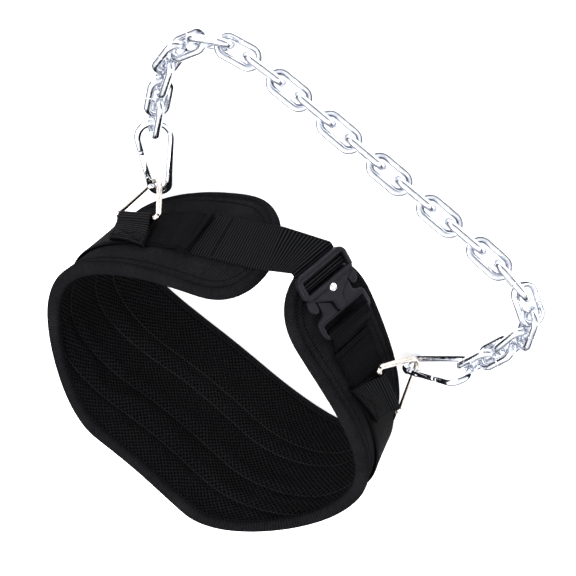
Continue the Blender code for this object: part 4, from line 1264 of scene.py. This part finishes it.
def chain_places():
    """Middle, heading and turn of each link along a smooth line through the route."""
    left, right = (hook_matrix(name) @ Vector((HOOK_REACH, 0, 0)) for name in ("left", "right"))
    middle, half = (left + right) / 2, (left.x - right.x) / 2
    route = [Vector((middle.x + half * x, middle.y + y, share)) for x, y, share in CHAIN_ROUTE]
    ends = [2 * route[0] - route[1]] + route + [2 * route[-1] - route[-2]]
    fine = []
    for number in range(1, len(ends) - 2):
        a, b, c, d = ends[number - 1:number + 3]
        for part in range(40):
            t = part / 40
            fine.append(0.5 * (2 * b + (c - a) * t + (2 * a - 5 * b + 4 * c - d) * t * t
                               + (3 * b - a - 3 * c + d) * t ** 3))
    fine.append(route[-1])
    length = [0.0]
    for before, after in zip(fine, fine[1:]):
        length.append(length[-1] + (after.xy - before.xy).length / after.z)
    wanted = [length[-1] * number / (LINK_COUNT - 1) for number in range(LINK_COUNT)]
    x = np.interp(wanted, length, [point.x for point in fine])
    y = np.interp(wanted, length, [point.y for point in fine])
    spots = [Vector((a, b, 0)) for a, b in zip(x, y)]
    moves = [after - before for before, after in zip(spots, spots[1:])]
    near = [moves[max(number - 1, 0):number + 1] for number in range(LINK_COUNT)]
    headings = [sum(pair, Vector((0, 0, 0))).normalized() for pair in near]
    bends = [math.degrees(after.angle(before)) for before, after in zip(headings, headings[1:])]
    turns = [np.mean(bends[max(number - 1, 0):number + 1]) for number in range(LINK_COUNT)]
    return list(zip(spots, headings, turns))


def make_chain_tree():
    """One link with its weld bead, set at every point and turned by that point's own angles."""
    tree, given, result = tree_of("welded chain", [
        ("Inside length", "Float", 0.03), ("Inside width", "Float", 0.01), ("Wire", "Float", 0.007),
        ("Sides", "Int", 16), ("Bend steps", "Int", 10), ("Material", "Material", None)])
    long = calc(tree, "ADD", given["Inside length"], given["Wire"])
    wide = calc(tree, "ADD", given["Inside width"], given["Wire"])
    half_wire = calc(tree, "MULTIPLY", given["Wire"], 0.5)
    bend = calc(tree, "MULTIPLY", wide, 0.4999)
    frame_line = node(tree, "GeometryNodeCurvePrimitiveQuadrilateral", Width=long, Height=wide)
    oval = node(tree, "GeometryNodeFilletCurve", {"mode": "POLY"}, Curve=frame_line.outputs[0],
                Count=given["Bend steps"], Radius=bend)
    section = node(tree, "GeometryNodeCurvePrimitiveCircle", Resolution=given["Sides"], Radius=half_wire)
    link = node(tree, "GeometryNodeCurveToMesh", Curve=oval.outputs[0], Profile_Curve=section.outputs[0])
    bead = node(tree, "GeometryNodeMeshUVSphere", Segments=given["Sides"], Rings=8, Radius=1.0)
    fat = calc(tree, "MULTIPLY", given["Wire"], 0.535)
    bead_long = calc(tree, "MULTIPLY", given["Wire"], 0.42)
    bead_size = node(tree, "ShaderNodeCombineXYZ", X=bead_long, Y=fat, Z=fat)
    bead_place = node(tree, "ShaderNodeCombineXYZ", Y=calc(tree, "MULTIPLY", wide, 0.5))
    weld = node(tree, "GeometryNodeTransform", Geometry=bead.outputs[0], Translation=bead_place.outputs[0],
                Scale=bead_size.outputs[0])
    whole = node(tree, "GeometryNodeJoinGeometry")
    tree.links.new(link.outputs[0], whole.inputs[0])
    tree.links.new(weld.outputs[0], whole.inputs[0])
    angles = node(tree, "GeometryNodeInputNamedAttribute", {"data_type": "FLOAT_VECTOR"}, Name="turned")
    turn = node(tree, "FunctionNodeEulerToRotation", Euler=angles.outputs[0])
    dots = node(tree, "GeometryNodeMeshToPoints", Mesh=given["Geometry"])
    chain = node(tree, "GeometryNodeInstanceOnPoints", Points=dots.outputs[0], Instance=whole.outputs[0],
                 Rotation=turn.outputs[0])
    end_tree(tree, chain.outputs[0], given["Material"], result)
    return tree


ZINC = plated_finish("bright zinc", (0.66, 0.68, 0.73), (0.44, 0.46, 0.52), 0.10, 0.24, 0.15, 0.00010)
link_spots, link_turns = [], []
for number, (spot, heading, turn) in enumerate(chain_places()):
    roll = math.radians(LINK_ROLL if number % 2 else LINK_ROLL - 90)
    height = (LINK_WIRE + LINK_PLAY) * abs(math.sin(roll)) + LINK_WIRE / 2
    height += LINK_LIFT * min(turn / 25, 1) * (number % 2)
    link_spots.append(spot + Vector((0, 0, height)))
    yaw = Matrix.Rotation(math.atan2(heading.y, heading.x), 4, "Z")
    link_turns.append((yaw @ Matrix.Rotation(roll, 4, "X")).to_euler())
dots = lines_mesh("chain_points", [([spot], False) for spot in link_spots])
turned = dots.attributes.new("turned", "FLOAT_VECTOR", "POINT")
turned.data.foreach_set("vector", [value for angles in link_turns for value in angles])
chain = grow("welded_chain", dots, make_chain_tree(), {
    "Inside length": LINK_INSIDE_LENGTH, "Inside width": LINK_WIRE + 2 * LINK_PLAY, "Wire": LINK_WIRE,
    "Sides": 18, "Bend steps": 12, "Material": ZINC})
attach(chain, "belt")
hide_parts(*["link_%02d" % (number + 1) for number in range(LINK_COUNT)])

# ---------------------------------------------------------------------- buckle
# A two-piece side-release buckle of black-finished metal: the cover holds the long strap's slot
# and cross bar, the plate under it holds the short strap's. A bright rivet joins the latch inside.
RIM_END = -BUCKLE_HALF * 0.36
RECESS_GAP, RECESS_DEPTH = 0.0014, 0.0026


def satin_black():
    """Black-finished cast metal with a fine grain and rubbed patches."""
    material, tree, shader = new_material("satin black metal", 0.36, metallic=0.35, specular=0.12)
    place = node(tree, "ShaderNodeTexCoord").outputs["Object"]
    wear = use_group(tree, PLATING_WEAR, Place=place, Fineness=1200.0)
    dust = use_group(tree, DUST, Place=place, Size=90.0, Edge=0.55)
    grain = node(tree, "ShaderNodeTexNoise", Vector=place, Scale=3000.0, Detail=2.0)
    tone = mix_colors(tree, wear["Smudge"], (0.0075, 0.0074, 0.0098), (0.0130, 0.0127, 0.0165))
    rubbed = mix_colors(tree, calc(tree, "MULTIPLY", dust["Worn"], 0.2), tone, (0.020, 0.020, 0.024))
    marked = mix_colors(tree, calc(tree, "MULTIPLY", wear["Scratch"], 0.12), rubbed, (0.04, 0.04, 0.046))
    tree.links.new(marked, shader.inputs["Base Color"])
    rough = node(tree, "ShaderNodeMapRange", in_0=wear["Smudge"], in_1=0.3, in_2=0.7, in_3=0.28, in_4=0.48)
    tree.links.new(rough.outputs[0], shader.inputs["Roughness"])
    raise_surface(tree, shader, grain.outputs["Fac"], 0.00002)
    return material


BLACK_METAL = satin_black()


def rounded(points, times=2):
    """Cut the corners of a closed outline, so that it runs softly."""
    for _ in range(times):
        soft = []
        for number, point in enumerate(points):
            after = points[(number + 1) % len(points)]
            soft.append(tuple(0.75 * a + 0.25 * b for a, b in zip(point, after)))
            soft.append(tuple(0.25 * a + 0.75 * b for a, b in zip(point, after)))
        points = soft
    return points


def mirrored(points):
    return points + [(u, -v) for u, v in reversed(points) if v > 0]


def grown(points, amount):
    """A closed outline moved outwards by an amount, or inwards where it is negative."""
    area = sum(a[0] * b[1] - b[0] * a[1] for a, b in zip(points, points[1:] + points[:1]))
    side = 1 if area > 0 else -1
    moved = []
    for number, point in enumerate(points):
        before, after = Vector(points[number - 1]), Vector(points[(number + 1) % len(points)])
        along = (after - before).normalized()
        moved.append((point[0] + along.y * amount * side, point[1] - along.x * amount * side))
    return moved


def plate(outline, holes, bottom, top, rounding):
    """A flat plate with soft edges in the buckle's frame."""
    curve = bpy.data.curves.new("plate", "CURVE")
    curve.dimensions = "2D"
    curve.fill_mode = "BOTH"
    curve.extrude = (top - bottom) / 2 - rounding
    curve.bevel_depth = rounding
    curve.bevel_resolution = 2
    curve.offset = -rounding
    for loop in [outline] + holes:
        spline = curve.splines.new("POLY")
        spline.points.add(len(loop) - 1)
        for place, point in zip(spline.points, loop):
            place.co = (*point, 0, 1)
        spline.use_cyclic_u = True
    blank = show("plate", curve)
    bpy.context.view_layer.update()
    graph = bpy.context.evaluated_depsgraph_get()
    mesh = bpy.data.meshes.new_from_object(blank.evaluated_get(graph), depsgraph=graph)
    bpy.data.objects.remove(blank)
    mesh.transform(BUCKLE.matrix() @ Matrix.Translation((0, 0, (bottom + top) / 2)))
    return mesh


def slot_outline(start, stop, extra=0.0, corner=0.0012):
    low, high = -SLOT_HALF - extra, SLOT_HALF + extra
    start, stop = start - extra, stop + extra
    points = []
    for u, v, first in ((start + corner, low + corner, 180), (stop - corner, low + corner, 270),
                        (stop - corner, high - corner, 0), (start + corner, high - corner, 90)):
        points += [tuple(point) for point in arc((u, v), corner, first, first + 90, 4)]
    return points


half, wide = BUCKLE_HALF, BUCKLE_HALF_WIDTH
frame_outline = mirrored([(-half, wide * 0.76), (-half * 0.93, wide * 0.92), (-half * 0.80, wide),
                          (-half * 0.36, wide)])
cover_outline = rounded(mirrored([
    (-half * 0.98, wide * 0.74), (-half * 0.92, wide * 0.90), (-half * 0.80, wide * 0.985),
    (-half * 0.36, wide * 0.985), (-half * 0.22, wide * 0.86), (-half * 0.10, wide * 0.60),
    (half * 0.04, wide * 0.36), (half * 0.14, wide * 0.19), (half * 0.34, wide * 0.19),
    (half * 0.46, wide * 0.15), (half * 0.50, 0.0)]))
cover_lip = [point for point in cover_outline if point[0] > -half * 0.30]
strap_slot = slot_outline(SLOT_START, SLOT_END)
bar_size = (BAR_END - BAR_START, 2 * SLOT_HALF + BUCKLE_SIDE_BAR, BAR_TOP - BUCKLE_FLOOR)
bar_place = BUCKLE.point((BAR_START + BAR_END) / 2, 0, BUCKLE_FLOOR + bar_size[2] / 2)
bar_turn = BUCKLE.matrix().to_3x3().to_4x4()
cover = crisp(join("buckle_front", [
    plate(frame_outline, [strap_slot], BUCKLE_FLOOR, COVER_TOP - 0.0002, 0.0007),
    plate(cover_outline, [strap_slot], COVER_FLOOR, COVER_TOP, 0.0005),
    plate(slot_outline(SLOT_START, SLOT_END, 0.0026, 0.0026), [slot_outline(SLOT_START, SLOT_END, 0.0002)],
          COVER_TOP - 0.0006, COVER_TOP + 0.0009, 0.0005),
    plate(grown(cover_lip, -0.0006), [grown(cover_lip, -0.0017)],
          COVER_TOP - 0.0004, COVER_TOP + 0.0004, 0.0002),
    rounded_block(bar_size, Matrix.Translation(bar_place) @ bar_turn, 0.0006),
], BLACK_METAL))
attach(cover, "belt")
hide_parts("buckle_cover")

plate_outline = rounded(mirrored([
    (RIM_END + GAP, wide * 0.62), (half * 0.05, wide * 0.66), (half * 0.22, wide * 0.62),
    (half * 0.32, wide * 0.72), (half * 0.40, wide * 0.94), (half * 0.52, wide),
    (half * 0.88, wide), (half, wide * 0.84)]), 1)
short_slot = slot_outline(SHORT_SLOT_START, SHORT_SLOT_END)
rear_shape = plate(plate_outline, [short_slot], BUCKLE_FLOOR, PLATE_TOP, 0.0007)
recess_shape = plate(grown(cover_outline, RECESS_GAP), [],
                     PLATE_TOP - RECESS_DEPTH, PLATE_TOP + 0.001, 0.0001)
rear_plate = show("rear_plate", welded(rear_shape, 2 * MERGE))
recess = show("recess", welded(recess_shape, 2 * MERGE))
rear = crisp(join("buckle_rear", [
    carve(rear_plate, recess),
    plate(slot_outline(SHORT_SLOT_START, SHORT_SLOT_END, 0.0016, 0.0022),
          [slot_outline(SHORT_SLOT_START, SHORT_SLOT_END, 0.0002)],
          PLATE_TOP - 0.0006, PLATE_TOP + 0.0005, 0.0004),
], BLACK_METAL))
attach(rear, "belt")
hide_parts("buckle_plate")

tab_outline = [(-half * 0.30, wide * 0.70), (half * 0.18, wide * 0.70), (half * 0.14, wide * 0.92),
               (-half * 0.02, wide * 1.02), (-half * 0.30, wide * 0.94)]
for side, name in ((1, "upper"), (-1, "lower")):
    outline = rounded([(u, side * v) for u, v in tab_outline], 1)
    tab_shape = plate(outline, [], BUCKLE_FLOOR, PLATE_TOP, 0.0006)
    tab = crisp(join(name + "_squeeze_tab", [tab_shape], BLACK_METAL))
    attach(tab, "belt")
    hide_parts(name + "_release_tab")

# Radius and height along the rivet's head: a low dome inside a groove and an outer collar.
RIVET_SECTION = [
    (0.0, 0.0013), (0.0008, 0.00126), (0.0016, 0.0011), (0.0021, 0.0008), (0.0023, 0.0004),
    (0.0026, 0.0004), (0.0028, 0.0007), (0.0032, 0.0007), (0.0034, 0.0004), (0.0034, 0.0),
]
bm = bmesh.new()
section = [bm.verts.new((radius, 0, height)) for radius, height in RIVET_SECTION]
for first, second in zip(section, section[1:]):
    bm.edges.new((first, second))
bmesh.ops.spin(bm, geom=bm.verts[:] + bm.edges[:], cent=(0, 0, 0), axis=(0, 0, 1), angle=2 * math.pi,
               steps=40, use_merge=True)
bmesh.ops.remove_doubles(bm, verts=bm.verts, dist=MERGE)
bmesh.ops.holes_fill(bm, edges=[edge for edge in bm.edges if edge.is_boundary])
bmesh.ops.recalc_face_normals(bm, faces=bm.faces)
rivet_mesh = bpy.data.meshes.new("rivet")
bm.to_mesh(rivet_mesh)
bm.free()
rivet_mesh.transform(BUCKLE.matrix() @ Matrix.Translation((RIM_END * 0.55, 0, COVER_TOP)))
RIVET_PLATE = plated_finish("polished rivet", (0.90, 0.90, 0.90), (0.82, 0.82, 0.82),
                            0.22, 0.28, 0.0, 0.00001)
rivet = join("latch_rivet", [rivet_mesh], RIVET_PLATE)
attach(rivet, "belt")
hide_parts("buckle_rivet")

# ------------------------------------------------------ floor, light and camera
# A plain white floor that glows faintly, painted light that lifts the shadows on it and lights the belt from
# below, a broad soft light above with two weaker ones beside it, and a room that is pale overhead and dark
# low down.
FLOOR_HALF, FLOOR_LEVEL, FLOOR_GLOW, ROOM_LIGHT = 6, -0.0004, 0.6, 1.5
floor_mesh = bpy.data.meshes.new("studio_floor")
floor_corners = [(x * FLOOR_HALF, y * FLOOR_HALF, FLOOR_LEVEL)
                 for x, y in ((-1, -1), (1, -1), (1, 1), (-1, 1))]
floor_mesh.from_pydata(floor_corners, [], [(0, 1, 2, 3)])
floor = show("studio_floor", floor_mesh)
material, tree, shader = new_material("white floor with painted glow", 0.9)
floor_place = node(tree, "ShaderNodeTexCoord").outputs["Object"]
paper = node(tree, "ShaderNodeTexNoise", Vector=floor_place, Scale=30.0)
tree.links.new(mix_colors(tree, paper.outputs["Fac"], (0.90, 0.90, 0.90), (0.92, 0.92, 0.92)),
               shader.inputs["Base Color"])
# Painted light: the floor glows of its own, though it is no lamp, which washes out the shadows cast on it.
shader.inputs["Emission Color"].default_value = (1, 1, 1, 1)
shader.inputs["Emission Strength"].default_value = FLOOR_GLOW
floor.data.materials.append(material)

# Name, place, size, power, and the point it is aimed at.
LIGHTS = [
    ("overhead", (0.2, 0.3, 1.7), 1.6, 27, (0, 0, 0)),
    ("left_side", (1.5, -0.8, 1.0), 0.9, 20, (0, 0, 0.05)),
    ("right_side", (-1.5, -0.9, 1.1), 0.9, 16, (0, 0, 0.05)),
]
for name, place, size, power, aim in LIGHTS:
    lamp_data = bpy.data.lights.new(name, "AREA")
    lamp_data.size = size
    lamp_data.energy = power
    lamp = bpy.data.objects.new(name, lamp_data)
    lamp.location = place
    lamp.rotation_euler = (Vector(aim) - Vector(place)).to_track_quat("-Z", "Y").to_euler()
    bpy.context.scene.collection.objects.link(lamp)

world = bpy.data.worlds.new("pale room")
bpy.context.scene.world = world
world.use_nodes = True
sky = world.node_tree
height = node(sky, "ShaderNodeSeparateXYZ", Vector=node(sky, "ShaderNodeTexCoord").outputs["Generated"])
overhead = node(sky, "ShaderNodeMapRange", in_0=height.outputs[2], in_1=0.30, in_2=0.70)
room = mix_colors(sky, overhead.outputs[0], (0.012, 0.016, 0.035), (1.0, 1.0, 1.0))
sky.links.new(room, sky.nodes["Background"].inputs["Color"])
sky.nodes["Background"].inputs["Strength"].default_value = ROOM_LIGHT

CAMERA_AZIMUTH, CAMERA_HEIGHT, CAMERA_ROLL = -6.18, 43.65, 220.77
CAMERA_DISTANCE, CAMERA_LENS = 1.81362, 135.69
CAMERA_AIM = Vector((-0.00428, -0.02647, 0.0584))
azimuth, elevation, roll = (math.radians(value) for value in (CAMERA_AZIMUTH, CAMERA_HEIGHT, CAMERA_ROLL))
back = Vector((math.sin(azimuth) * math.cos(elevation), -math.cos(azimuth) * math.cos(elevation),
               math.sin(elevation)))
right = (-back).cross(Vector((0, 0, 1))).normalized()
top = right.cross(-back)
camera_data = bpy.data.cameras.new("camera")
camera_data.lens = CAMERA_LENS
camera_data.sensor_width = 36
camera_data.clip_start = 0.05
camera = bpy.data.objects.new("camera", camera_data)
turned_right = right * math.cos(roll) + top * math.sin(roll)
turned_top = top * math.cos(roll) - right * math.sin(roll)
place = CAMERA_AIM + back * CAMERA_DISTANCE
axes = Matrix((turned_right, turned_top, back)).transposed().to_4x4()
camera.matrix_world = Matrix.Translation(place) @ axes
bpy.context.scene.collection.objects.link(camera)
bpy.context.scene.camera = camera
bpy.context.scene.view_settings.view_transform = "Standard"
